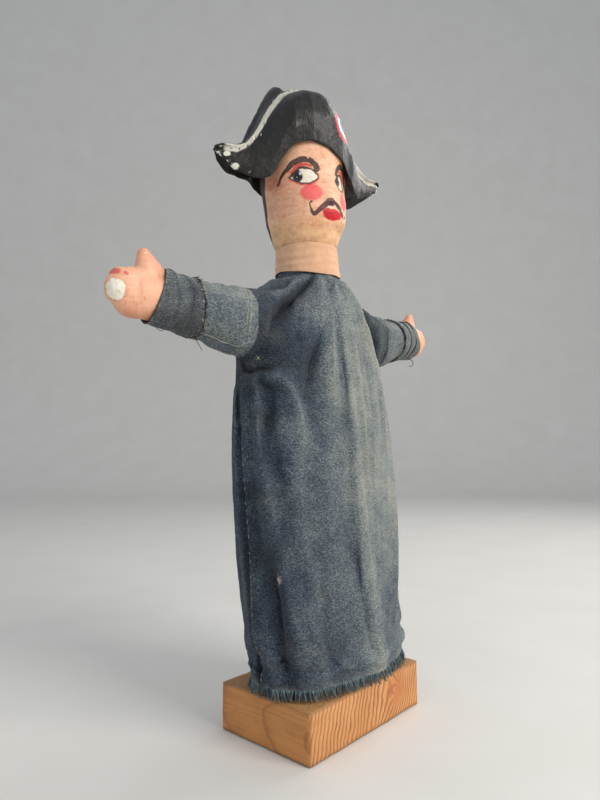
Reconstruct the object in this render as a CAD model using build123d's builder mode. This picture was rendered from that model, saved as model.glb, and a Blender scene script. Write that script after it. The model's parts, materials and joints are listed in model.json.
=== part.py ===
from build123d import *
import os

os.makedirs("parts", exist_ok=True)

# Glove puppet of a moustached guardsman on a wooden display block.
# Millimetres, +Z up. The origin is the centre of the block's underside and the
# block stands square to the axes. The puppet faces -Y, with its right hand
# towards -X. The post leans a little, and everything above the block is built
# on a plane at the post's foot that leans with it.

# ---- driving dimensions -------------------------------------------------
BLOCK_X, BLOCK_Y, BLOCK_Z = 142.0, 92.0, 36.0
FOOT_X, FOOT_Y = 5.0, -2.0          # where the post's axis meets the block's top
LEAN_X, LEAN_Y = -0.0324, 0.0365    # slope of the post

POST_R = 7.0
POST_SUNK = 20.0
POST_TOP = 396.0
FIT = 0.05                          # running fit of the post in its hole
SCREW_R, SCREW_HEAD_R = 2.1, 4.4

ARM_Z = 288.0                       # height of the arms' line above the block
WIRE_R = 1.5
LOOP_R = 9.0                        # the wire's turn around the post
RAISE_U, SWING_U = 95.0, 117.0      # the wire's two bends, out from the post
BEND_GAP = 1.8                      # the wire is cut this far each side of a bend
HAND_END = 172.0

CLOTH = 1.6
HEM_Z = 40.0                        # the hem is level, this far above the table
ARMHOLE_R = 22.6
ARMHOLE_U = 83.5                    # the armhole seam, out from the post
# the glove's body: height above the block's top, half width, half depth, set forward
TORSO = [
    (-8, 79.0, 46.0, -1.5),
    (30, 81.5, 46.5, -1.5),
    (75, 84.5, 46.5, -1.0),
    (130, 87.5, 45.5, -0.5),
    (190, 87.5, 44.5, 0.0),
    (235, 83.0, 41.5, 0.0),
    (265, 76.5, 38.5, 0.0),
    (290, 68.0, 36.5, 0.0),
    (310, 53.0, 34.0, 0.0),
    (326, 31.5, 30.5, 0.0),
]

SLEEVE_R, CUFF_R, WRIST_R = 21.0, 20.0, 15.5
SLEEVE_U0, SLEEVE_U1 = 84.5, 128.5
CUFF_U0, CUFF_U1 = 129.0, 160.0
TUBE_R, TUBE_WALL = 9.5, 1.0

HEAD_TURN = -15.0                   # the head looks a little to its right
NECK_R = 25.0
NECK_Z0 = 331.0
NOD_Z = 390.0                       # the head rocks on the post's padded tip
SOCKET_R, WAD_R = 11.2, 10.8

PUPPET = Plane(origin=(FOOT_X, FOOT_Y, BLOCK_Z), x_dir=(1, 0, -LEAN_X), z_dir=(LEAN_X, LEAN_Y, 1))
HEAD = PUPPET.rotated((0, 0, HEAD_TURN))
X_AX, Y_AX, Z_AX = PUPPET.x_dir, PUPPET.y_dir, PUPPET.z_dir


def at(x, y, z, plane=PUPPET):
    """A point given in the leaning frame, as a point of the whole model."""
    return plane.from_local_coords(Vector(x, y, z))


def facing(point, normal, x_dir):
    """A plane through a point of the leaning frame."""
    return Plane(origin=at(*point), x_dir=x_dir, z_dir=normal)


def finish(builder, label):
    builder.part.label = label
    export_step(builder.part, f"parts/{label}.step")


# ---- the stand ----------------------------------------------------------
# An offcut of softwood plank, its edges eased, bored for the leaning post and
# for the screw that comes up into the post from below.
with BuildPart() as base_block:
    with BuildSketch(Plane.XY):
        Rectangle(BLOCK_X, BLOCK_Y)
    extrude(amount=BLOCK_Z)
    fillet(base_block.edges().filter_by(Axis.Z), 3.0)
    chamfer(base_block.faces().sort_by(Axis.Z)[-1].edges(), 0.8)
    chamfer(base_block.faces().sort_by(Axis.Z)[0].edges(), 0.8)
    with BuildSketch(PUPPET.offset(-POST_SUNK)):
        Circle(POST_R + FIT)
    extrude(amount=POST_SUNK + 6, mode=Mode.SUBTRACT)
    with BuildSketch(PUPPET.offset(-POST_SUNK - 22)):
        Circle(SCREW_R)
    extrude(amount=24, mode=Mode.SUBTRACT)
    with BuildSketch(PUPPET.offset(-38.0)):
        Circle(SCREW_HEAD_R)
    extrude(amount=3.6, mode=Mode.SUBTRACT)
    with BuildSketch(PUPPET.offset(-34.4)):
        Circle(SCREW_HEAD_R)
    with BuildSketch(PUPPET.offset(-31.4)):
        Circle(SCREW_R)
    loft(mode=Mode.SUBTRACT)
finish(base_block, "base_block")

# A countersunk wood screw on the post's axis, with a straight slot.
with BuildPart() as post_screw:
    with BuildSketch(PUPPET.offset(-34.4)):
        Circle(SCREW_HEAD_R)
    with BuildSketch(PUPPET.offset(-31.4)):
        Circle(SCREW_R)
    loft()
    with BuildSketch(PUPPET.offset(-31.4)):
        Circle(SCREW_R)
    extrude(amount=26.0)
    with BuildSketch(PUPPET.offset(-5.4)):
        Circle(SCREW_R)
    with BuildSketch(PUPPET.offset(-2.0)):
        Circle(0.4)
    loft()
    with BuildSketch(PUPPET.offset(-34.4)):
        Rectangle(12, 1.0)
    extrude(amount=1.1, mode=Mode.SUBTRACT)
finish(post_screw, "post_screw")

# The post: a dowel with a rounded tip, a pilot hole for the screw and a cross
# hole for the nail that carries the armature.
PIN_R = 1.25
PIN_Z = ARM_Z - WIRE_R - PIN_R - 0.35
with BuildPart() as post:
    with BuildSketch(PUPPET.offset(-POST_SUNK)):
        Circle(POST_R)
    extrude(amount=POST_SUNK + POST_TOP)
    top_edge = post.edges().filter_by(GeomType.CIRCLE).sort_by(Axis.Z)[-1]
    fillet(top_edge, 4.5)
    with BuildSketch(PUPPET.offset(-POST_SUNK)):
        Circle(SCREW_R + FIT)
    extrude(amount=19.0, mode=Mode.SUBTRACT)
    with BuildSketch(facing((0, -12, PIN_Z), Y_AX, X_AX)):
        Circle(PIN_R)
    extrude(amount=24, mode=Mode.SUBTRACT)
finish(post, "post")

with BuildPart() as stop_pin:
    with BuildSketch(facing((0, -12.5, PIN_Z), Y_AX, X_AX)):
        Circle(PIN_R)
    extrude(amount=24)
    with BuildSketch(facing((0, -13.7, PIN_Z), Y_AX, X_AX)):
        Circle(2.6)
    extrude(amount=1.2)
finish(stop_pin, "stop_pin")

# ---- the wire armature that holds the arms out --------------------------
# One turn of soft wire around the post, resting on the nail, with a straight
# run to each shoulder. The wire is cut at its bends.
with BuildPart() as armature_loop:
    with BuildSketch(facing((0, LOOP_R, ARM_Z), X_AX, Y_AX)):
        Circle(WIRE_R)
    revolve(axis=Axis(at(0, 0, ARM_Z), Z_AX), revolution_arc=360)
    for side in (-1, 1):
        with BuildSketch(facing((side * LOOP_R, 0, ARM_Z), X_AX * side, Z_AX)):
            Circle(WIRE_R)
        extrude(amount=RAISE_U - BEND_GAP - LOOP_R)
finish(armature_loop, "armature_loop")

# ---- the glove's body ---------------------------------------------------
# Front and back are two layers of cloth that meet at the side seams. The bag
# is open at the hem and at the neck, and runs out to a round armhole each side.
SIDE_SEAM = Plane(origin=at(0, 0, 0), x_dir=X_AX, z_dir=Y_AX)

for panel_name, kept in (("front_panel", Keep.BOTTOM), ("back_panel", Keep.TOP)):
    with BuildPart() as panel:
        for h, half_w, half_d, forward in TORSO:
            with BuildSketch(PUPPET.offset(h)):
                with Locations((0, forward)):
                    Ellipse(half_w, half_d)
        loft()
        for side in (-1, 1):
            with BuildSketch(facing((side * 50, 0, ARM_Z), X_AX * side, Z_AX)):
                Circle(ARMHOLE_R)
            extrude(amount=ARMHOLE_U - 50)
        for h, half_w, half_d, forward in TORSO:
            with BuildSketch(PUPPET.offset(h)):
                with Locations((0, forward)):
                    Ellipse(half_w - CLOTH, half_d - CLOTH)
        loft(mode=Mode.SUBTRACT)
        for side in (-1, 1):
            with BuildSketch(facing((side * 45, 0, ARM_Z), X_AX * side, Z_AX)):
                Circle(ARMHOLE_R - CLOTH)
            extrude(amount=ARMHOLE_U - 44, mode=Mode.SUBTRACT)
        split(bisect_by=Plane.XY.offset(HEM_Z), keep=Keep.TOP)
        split(bisect_by=SIDE_SEAM, keep=kept)
    finish(panel, panel_name)

# ---- the arms, the same on both sides -----------------------------------
# u runs out along the arm from the post's axis, v runs up.
HAND_OUTLINE = [
    (160.5, -15.2), (166, -15.6), (175, -15.2), (184, -12.0), (191, -6.0), (195, 1.0),
    (194, 9.0), (190, 15.0), (184, 18.5), (176, 18.8), (173.8, 22), (173.2, 28),
    (170, 32.0), (165.8, 32.0), (162.8, 28), (161.2, 21), (160.5, 15.2),
]
HAND_HALF = 12.0

for name, side in (("right", -1), ("left", 1)):
    OUT = X_AX * side

    def ring(u):
        return Plane(origin=at(side * u, 0, ARM_Z), x_dir=Z_AX, z_dir=OUT)

    # the run of wire between the shoulder's two bends
    with BuildPart() as shoulder_wire:
        with BuildSketch(ring(RAISE_U + BEND_GAP)):
            Circle(WIRE_R)
        extrude(amount=SWING_U - RAISE_U - 2 * BEND_GAP)
    finish(shoulder_wire, f"{name}_shoulder_wire")

    # the outer run, ending in an eye inside the hand's tube
    with BuildPart() as arm_wire:
        with BuildSketch(ring(SWING_U + BEND_GAP)):
            Circle(WIRE_R)
        extrude(amount=HAND_END - 14.9 - SWING_U - BEND_GAP)
        with BuildSketch(Plane(origin=at(side * (HAND_END - 14.2), 0, ARM_Z), x_dir=OUT, z_dir=Z_AX)):
            Circle(WIRE_R)
        revolve(axis=Axis(at(side * (HAND_END - 8.6), 0, ARM_Z), Y_AX), revolution_arc=360)
    finish(arm_wire, f"{name}_arm_wire")

    # the card tube that a finger goes into
    with BuildPart() as finger_tube:
        with BuildSketch(ring(132.0)):
            Circle(TUBE_R)
            Circle(TUBE_R - TUBE_WALL, mode=Mode.SUBTRACT)
        extrude(amount=HAND_END + 1.0 - 132.0)
    finish(finger_tube, f"{name}_finger_tube")

    # the carved hand: a mitten with its thumb up, and a round wrist bored for the tube
    with BuildPart() as hand:
        with BuildSketch(Plane(origin=at(0, 0, ARM_Z), x_dir=OUT, z_dir=Y_AX * -side)) as outline:
            with BuildLine():
                Polyline(*HAND_OUTLINE, close=True)
            make_face()
        extrude(amount=HAND_HALF, both=True)
        broad = hand.faces().sort_by(Axis((0, 0, 0), tuple(Y_AX)))
        chamfer(broad[-1].edges() + broad[0].edges(), 2.4)
        with BuildSketch(ring(140.0)):
            Circle(WRIST_R)
        extrude(amount=26.0)
        with BuildSketch(ring(139.0)):
            Circle(TUBE_R)
        extrude(amount=HAND_END + 1.0 - 139.0, mode=Mode.SUBTRACT)
    finish(hand, f"{name}_hand")

    # cloth sleeve, sewn into the armhole
    with BuildPart() as sleeve:
        with BuildSketch(ring(SLEEVE_U0)):
            Circle(SLEEVE_R)
            Circle(SLEEVE_R - CLOTH, mode=Mode.SUBTRACT)
        extrude(amount=SLEEVE_U1 - SLEEVE_U0)
    finish(sleeve, f"{name}_sleeve")

    # cloth cuff, sewn to the sleeve's end and tied over the wrist
    with BuildPart() as cuff:
        with BuildSketch(ring(CUFF_U0)):
            Circle(CUFF_R + 0.4)
        with BuildSketch(ring(CUFF_U1)):
            Circle(CUFF_R - 1.0)
        loft()
        with BuildSketch(ring(CUFF_U0)):
            Circle(CUFF_R - 1.4)
        with BuildSketch(ring(CUFF_U1)):
            Circle(CUFF_R - 2.8)
        loft(mode=Mode.SUBTRACT)
    finish(cuff, f"{name}_cuff")

    # two turns of linen thread around the cuff
    with BuildPart() as wrist_tie:
        for u, r in ((141.0, 20.3), (152.0, 19.9)):
            with BuildSketch(ring(u)):
                Circle(r + 0.8)
                Circle(r, mode=Mode.SUBTRACT)
            extrude(amount=1.2)
    finish(wrist_tie, f"{name}_wrist_tie")

# ---- the head -----------------------------------------------------------
# A wad of felt packed on the post's tip inside the finger hole. The head turns
# with it and rocks on it.
with BuildPart() as finger_hole_wad:
    with BuildSketch(facing((0, 0, NOD_Z), Y_AX * -1, X_AX)):
        with BuildLine():
            ThreePointArc((0, WAD_R), (WAD_R * 0.7071, WAD_R * 0.7071), (WAD_R, 0))
            Line((WAD_R, 0), (8.6, -6.4))
            Line((8.6, -6.4), (7.3, -6.4))
            Line((7.3, -6.4), (7.3, 6.4))
            Line((7.3, 6.4), (0, 6.4))
            Line((0, 6.4), (0, WAD_R))
        make_face()
    revolve(axis=Axis(at(0, 0, 0), Z_AX), revolution_arc=360)
finish(finger_hole_wad, "finger_hole_wad")

# The head is an egg on a round neck, carved hollow for a finger. Its nose is a
# low ridge on the front.
HEAD_SECTIONS = [
    (359.5, 25.0, 25.0, 0.0),
    (366, 28.4, 28.8, -0.5),
    (378, 32.5, 34.5, -1.5),
    (395, 36.0, 38.0, -2.0),
    (412, 38.0, 39.5, -2.0),
    (430, 38.0, 39.5, -1.0),
    (446, 34.0, 36.0, 0.0),
    (458, 25.0, 27.0, 0.0),
    (464, 12.0, 13.0, 0.0),
]

TUBE_TOP = 372.0
BORE_SLOPE = (18.2 - 15.2) / (TUBE_TOP - NECK_Z0)
with BuildPart() as head:
    for h, half_w, half_d, forward in HEAD_SECTIONS:
        with BuildSketch(HEAD.offset(h)):
            with Locations((0, forward)):
                Ellipse(half_w, half_d)
    loft()
    with BuildSketch(HEAD.offset(NECK_Z0)):
        Circle(NECK_R)
    extrude(amount=359.5 - NECK_Z0)
    # nose
    with BuildSketch(HEAD.offset(388.0)):
        with Locations((0, -34.5)):
            Ellipse(6.0, 6.5)
    with BuildSketch(HEAD.offset(410.0)):
        with Locations((0, -37.5)):
            Ellipse(3.5, 4.5)
    loft()
    # the finger hole: a cone that ends in a round socket, stepped for the card tube
    with BuildSketch(PUPPET.offset(NECK_Z0 - 2.0)):
        Circle(18.2 + 2.0 * BORE_SLOPE)
    with BuildSketch(PUPPET.offset(TUBE_TOP)):
        Circle(15.2)
    loft(mode=Mode.SUBTRACT)
    with BuildSketch(PUPPET.offset(TUBE_TOP - 0.5)):
        Circle(14.2)
    with BuildSketch(PUPPET.offset(NOD_Z)):
        Circle(SOCKET_R)
    loft(mode=Mode.SUBTRACT)
    with BuildSketch(facing((0, 0, NOD_Z), Y_AX * -1, X_AX)):
        with BuildLine():
            ThreePointArc((0, SOCKET_R), (SOCKET_R * 0.7071, SOCKET_R * 0.7071), (SOCKET_R, 0))
            Polyline((SOCKET_R, 0), (SOCKET_R, -1.5), (0, -1.5), (0, SOCKET_R))
        make_face()
    revolve(axis=Axis(at(0, 0, 0), Z_AX), revolution_arc=360, mode=Mode.SUBTRACT)
finish(head, "head")

# card tube that lines the finger hole
with BuildPart() as neck_tube:
    with BuildSketch(facing((0, 0, 0), Y_AX * -1, X_AX)):
        with BuildLine():
            Polyline((18.2, NECK_Z0), (15.2, TUBE_TOP), (14.2, TUBE_TOP), (17.2, NECK_Z0), close=True)
        make_face()
    revolve(axis=Axis(at(0, 0, 0), Z_AX), revolution_arc=360)
finish(neck_tube, "neck_tube")

# string that ties the glove's gathered neck to the head's neck
with BuildPart() as neck_tie:
    with BuildSketch(HEAD.offset(333.0)):
        Circle(25.9)
        Circle(25.0, mode=Mode.SUBTRACT)
    extrude(amount=2.4)
finish(neck_tie, "neck_tie")

# the strip of cloth wound around the neck over the gathers
with BuildPart() as neck_band:
    with BuildSketch(HEAD.offset(331.5)):
        Circle(27.2)
    with BuildSketch(HEAD.offset(358.0)):
        Circle(26.4)
    loft()
    with BuildSketch(HEAD.offset(331.5)):
        Circle(25.9)
    extrude(amount=5.0, mode=Mode.SUBTRACT)
    with BuildSketch(HEAD.offset(336.5)):
        Circle(25.2)
    extrude(amount=21.5, mode=Mode.SUBTRACT)
finish(neck_band, "neck_band")

# ---- the bicorne, worn across the head ----------------------------------
# Front view outline, then the plan view, then the hollow for the head.
HAT_OUTLINE_UP = [(-84.5, 426), (-79, 434), (-60, 441), (-47, 458), (-37, 478), (-22, 497), (0, 504),
                  (22, 497), (37, 478), (47, 458), (60, 441), (79, 434), (84.5, 426)]
HAT_OUTLINE_DOWN = [(77, 420), (62, 408), (44, 399), (30, 404), (0, 412), (-30, 404), (-44, 399), (-62, 408), (-77, 420)]
with BuildPart() as hat:
    with BuildSketch(Plane(origin=at(0, 0, 0), x_dir=HEAD.x_dir, z_dir=HEAD.y_dir * -1)):
        with BuildLine():
            Polyline(*HAT_OUTLINE_UP, *HAT_OUTLINE_DOWN, close=True)
        make_face()
    extrude(amount=60, both=True)
    with BuildSketch(HEAD.offset(390.0)):
        with BuildLine():
            Polyline((-85, -5), (-62, -12), (-40, -34), (-20, -44), (0, -46.5), (20, -44), (40, -34), (62, -12), (85, -5),
                     (85, 5), (62, 12), (40, 34), (20, 42), (0, 44), (-20, 42), (-40, 34), (-62, 12), (-85, 5), close=True)
        make_face()
    extrude(amount=120.0, mode=Mode.INTERSECT)
    # seen from the side, the front brim leans back to the crest and the back brim stands higher
    with BuildSketch(Plane(origin=at(0, 0, 0), x_dir=HEAD.y_dir, z_dir=HEAD.x_dir)):
        with BuildLine():
            Polyline((-47, 390), (-47.5, 438), (-43, 456), (-31, 476), (-16, 492), (-6, 498), (4, 496), (16, 500),
                     (28, 503), (37, 497), (43, 478), (46, 450), (46, 390), close=True)
        make_face()
    extrude(amount=100, both=True, mode=Mode.INTERSECT)
    for h, half_w, half_d, forward in HEAD_SECTIONS[2:]:
        with BuildSketch(HEAD.offset(h + 0.15)):
            with Locations((0, forward)):
                Ellipse(half_w + 0.3, half_d + 0.3)
    loft(mode=Mode.SUBTRACT)
    # the front rises in an arch over the forehead and the back over the nape
    with BuildSketch(Plane(origin=at(0, 0, 0), x_dir=HEAD.x_dir, z_dir=HEAD.y_dir * -1)):
        with BuildLine():
            ThreePointArc((-40, 392), (0, 437), (40, 392))
            Line((40, 392), (-40, 392))
        make_face()
    extrude(amount=60, mode=Mode.SUBTRACT)
finish(hat, "hat")
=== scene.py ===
import bpy, bmesh, json, math
import numpy as np
from mathutils import Vector, Matrix


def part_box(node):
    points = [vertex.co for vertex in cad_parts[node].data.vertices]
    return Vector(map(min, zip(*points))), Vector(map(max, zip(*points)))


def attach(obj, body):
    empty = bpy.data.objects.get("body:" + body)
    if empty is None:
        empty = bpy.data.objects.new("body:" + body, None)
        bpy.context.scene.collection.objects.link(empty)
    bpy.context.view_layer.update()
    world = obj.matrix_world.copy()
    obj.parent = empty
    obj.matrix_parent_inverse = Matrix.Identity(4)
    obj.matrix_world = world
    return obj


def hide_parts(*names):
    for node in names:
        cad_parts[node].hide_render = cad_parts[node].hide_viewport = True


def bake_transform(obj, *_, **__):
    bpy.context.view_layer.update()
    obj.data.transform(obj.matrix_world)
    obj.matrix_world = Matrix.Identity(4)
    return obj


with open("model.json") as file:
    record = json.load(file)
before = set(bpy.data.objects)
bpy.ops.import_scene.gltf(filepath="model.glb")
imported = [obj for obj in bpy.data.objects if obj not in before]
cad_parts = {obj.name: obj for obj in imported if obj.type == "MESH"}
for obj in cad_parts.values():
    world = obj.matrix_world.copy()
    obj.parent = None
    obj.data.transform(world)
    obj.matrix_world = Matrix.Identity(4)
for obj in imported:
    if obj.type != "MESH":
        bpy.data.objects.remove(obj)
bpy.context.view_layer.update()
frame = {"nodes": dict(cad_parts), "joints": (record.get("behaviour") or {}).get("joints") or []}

# ------------------------------------------------------------------ frames
J = {j["name"]: j for j in frame["joints"]}
ZV = np.array(J["post_turn"]["axis"], float); ZV /= np.linalg.norm(ZV)
YV = np.array(J["right_arm_raise"]["axis"], float); YV /= np.linalg.norm(YV)
XV = np.cross(YV, ZV); XV /= np.linalg.norm(XV); YV = np.cross(ZV, XV)
ORG = np.array(J["post_turn"]["pos_m"], float)
BLK_LO, BLK_HI = [np.array(v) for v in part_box("base_block")]
ORG = ORG + ZV * ((BLK_HI[2] - ORG[2]) / ZV[2])
HX = np.array(J["head_nod"]["axis"], float); HX = HX - (HX @ ZV) * ZV; HX /= np.linalg.norm(HX)
HY = np.cross(ZV, HX)
PB = np.array([XV, YV, ZV]); HB = np.array([HX, HY, ZV])


ARM_IN = 7.0   # the photo's far arm is this much shorter than the CAD's, in mm


def _in(x):
    t = np.clip((x - 92.) / 40., 0, 1)
    return ARM_IN * t * t * (3 - 2 * t)


def W(p, basis=PB):
    """leaned local millimetres -> row frame metres"""
    p = np.array(p, float)
    if basis is PB:
        p[..., 0] -= _in(p[..., 0])
    return p @ basis * .001 + ORG


def L(q, basis=PB):
    p = (np.asarray(q, float) - ORG) @ basis.T * 1000.
    if basis is PB:
        x0 = p[..., 0].copy(); x = x0.copy()
        for _ in range(6):
            x = x0 + _in(x)
        p[..., 0] = x
    return p


ARM_Z = float(L(J["right_arm_raise"]["pos_m"])[2])
RAISE_U = -float(L(J["right_arm_raise"]["pos_m"])[0])
SWING_U = -float(L(J["right_arm_swing"]["pos_m"])[0])
NOD_Z = float(L(J["head_nod"]["pos_m"])[2])


# ------------------------------------------------------------------ noise
def _h(ix, iy, iz, seed):
    ix = ix.astype(np.int64) & 0xffffffff; iy = iy.astype(np.int64) & 0xffffffff; iz = iz.astype(np.int64) & 0xffffffff
    n = (ix * 374761393 + iy * 668265263 + iz * 2147483647 + seed * 1274126177) & 0xffffffff
    n = ((n ^ (n >> 13)) * 1274126177) & 0xffffffff
    n = ((n ^ (n >> 16)) * 2246822519) & 0xffffffff
    return ((n ^ (n >> 15)) & 0xffffff) / float(0xffffff)


def vnoise(p, scale, seed=1):
    p = np.asarray(p, float) / scale
    i = np.floor(p); f = p - i; f = f * f * f * (f * (f * 6 - 15) + 10)
    x, y, z = i[..., 0], i[..., 1], i[..., 2]
    out = 0
    for dx in (0, 1):
        for dy in (0, 1):
            for dz in (0, 1):
                w = (f[..., 0] if dx else 1 - f[..., 0]) * (f[..., 1] if dy else 1 - f[..., 1]) * (f[..., 2] if dz else 1 - f[..., 2])
                out = out + w * _h(x + dx, y + dy, z + dz, seed)
    return out * 2 - 1


def fbm(p, scale, seed=1, octaves=4, gain=.5):
    a, s, t = 1., 0., 0.
    for k in range(octaves):
        s = s + a * vnoise(p, scale / 2 ** k, seed + 17 * k); t += a; a *= gain
    return s / t


def sstep(a, b, x):
    t = np.clip((np.asarray(x, float) - a) / (b - a), 0, 1)
    return t * t * (3 - 2 * t)


def seg_field(P, line, radii):
    """nearest distance and share along a polyline with many points, for 3-D points"""
    line = np.asarray(line, float)
    best = np.full(len(P), 1e9); par = np.zeros(len(P)); tot = 0.
    seg = np.linalg.norm(np.diff(line, axis=0), axis=1); full = seg.sum()
    for a, b, l in zip(line[:-1], line[1:], seg):
        d = b - a
        t = np.clip(((P - a) @ d) / (d @ d), 0, 1)
        r = np.linalg.norm(P - (a + t[:, None] * d), axis=1)
        m = r < best
        best[m] = r[m]; par[m] = (tot + t[m] * l) / full
        tot += l
    return best, par


def smooth_line(pts, n=40):
    """a Catmull-Rom line through the points"""
    p = np.asarray(pts, float)
    if len(p) < 3:
        t = np.linspace(0, 1, n)[:, None]
        return p[0] * (1 - t) + p[-1] * t
    q = np.vstack([2 * p[0] - p[1], p, 2 * p[-1] - p[-2]])
    out = []
    m = max(2, n // (len(p) - 1))
    for i in range(1, len(q) - 2):
        for t in np.linspace(0, 1, m, endpoint=False):
            out.append(.5 * ((2 * q[i]) + (-q[i - 1] + q[i + 1]) * t + (2 * q[i - 1] - 5 * q[i] + 4 * q[i + 1] - q[i + 2]) * t * t + (-q[i - 1] + 3 * q[i] - 3 * q[i + 1] + q[i + 2]) * t ** 3))
    out.append(p[-1])
    return np.array(out)


# ------------------------------------------------------------------ meshes
def obj_from(name, V, F, basis=PB, smooth=True, mat=None):
    me = bpy.data.meshes.new(name)
    me.from_pydata([tuple(v) for v in W(V, basis)], [], [tuple(int(i) for i in f) for f in F])
    me.validate(); me.update()
    o = bpy.data.objects.new(name, me)
    bpy.context.scene.collection.objects.link(o)
    if smooth:
        me.polygons.foreach_set("use_smooth", [True] * len(me.polygons))
    if mat:
        me.materials.append(mat)
    return o


def grid_faces(nr, nc, closed=True, flip=False):
    F = []
    for i in range(nr - 1):
        for j in range(nc if closed else nc - 1):
            a, b = i * nc + j, i * nc + (j + 1) % nc
            c, d = (i + 1) * nc + (j + 1) % nc, (i + 1) * nc + j
            F.append((a, b, c, d) if not flip else (d, c, b, a))
    return F


def set_color(o, name, rgba):
    a = o.data.color_attributes.new(name, "FLOAT_COLOR", "POINT")
    r = np.ones((len(o.data.vertices), 4), np.float32)
    rgba = np.asarray(rgba, np.float32)
    if rgba.ndim == 1:
        r[:, 0] = r[:, 1] = r[:, 2] = rgba
    else:
        r[:, :rgba.shape[1]] = rgba
    a.data.foreach_set("color", r.ravel())


def co_of(o):
    co = np.zeros(len(o.data.vertices) * 3); o.data.vertices.foreach_get("co", co)
    return co.reshape(-1, 3)


def set_co(o, co):
    o.data.vertices.foreach_set("co", np.asarray(co, np.float32).ravel()); o.data.update()


def normals_of(o):
    n = np.zeros(len(o.data.vertices) * 3); o.data.vertices.foreach_get("normal", n)
    return n.reshape(-1, 3)


def apply_mods(o):
    dg = bpy.context.evaluated_depsgraph_get(); dg.update()
    me = bpy.data.meshes.new_from_object(o.evaluated_get(dg), depsgraph=dg)
    mats = list(o.data.materials)
    o.modifiers.clear(); o.data = me
    me.materials.clear()
    for k in mats:
        me.materials.append(k)


def tube_mesh(path, radius, seg=8, taper=0., basis=PB):
    """vertices and faces of a small tube along a path of local points"""
    p = np.asarray(path, float); n = len(p)
    t = np.gradient(p, axis=0); t /= np.linalg.norm(t, axis=1)[:, None] + 1e-12
    up = np.array([0, 0, 1.]) if abs(t[0][2]) < .9 else np.array([1., 0, 0])
    V = []
    a = np.cross(t[0], up); a /= np.linalg.norm(a)
    for i in range(n):
        a = a - (a @ t[i]) * t[i]; a /= np.linalg.norm(a) + 1e-12
        b = np.cross(t[i], a)
        r = radius * (1 - taper * i / max(1, n - 1)) if np.isscalar(radius) else radius[i]
        for k in range(seg):
            c = 2 * math.pi * k / seg
            V.append(p[i] + r * (math.cos(c) * a + math.sin(c) * b))
    F = grid_faces(n, seg)
    V.append(p[0]); V.append(p[-1])
    for k in range(seg):
        F.append((len(V) - 2, (k + 1) % seg, k))
        F.append((len(V) - 1, (n - 1) * seg + k, (n - 1) * seg + (k + 1) % seg))
    return np.array(V), F


def merged(parts):
    V, F, off = [], [], 0
    for v, f in parts:
        V.append(v); F += [tuple(i + off for i in g) for g in f]; off += len(v)
    return np.vstack(V), F


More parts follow.
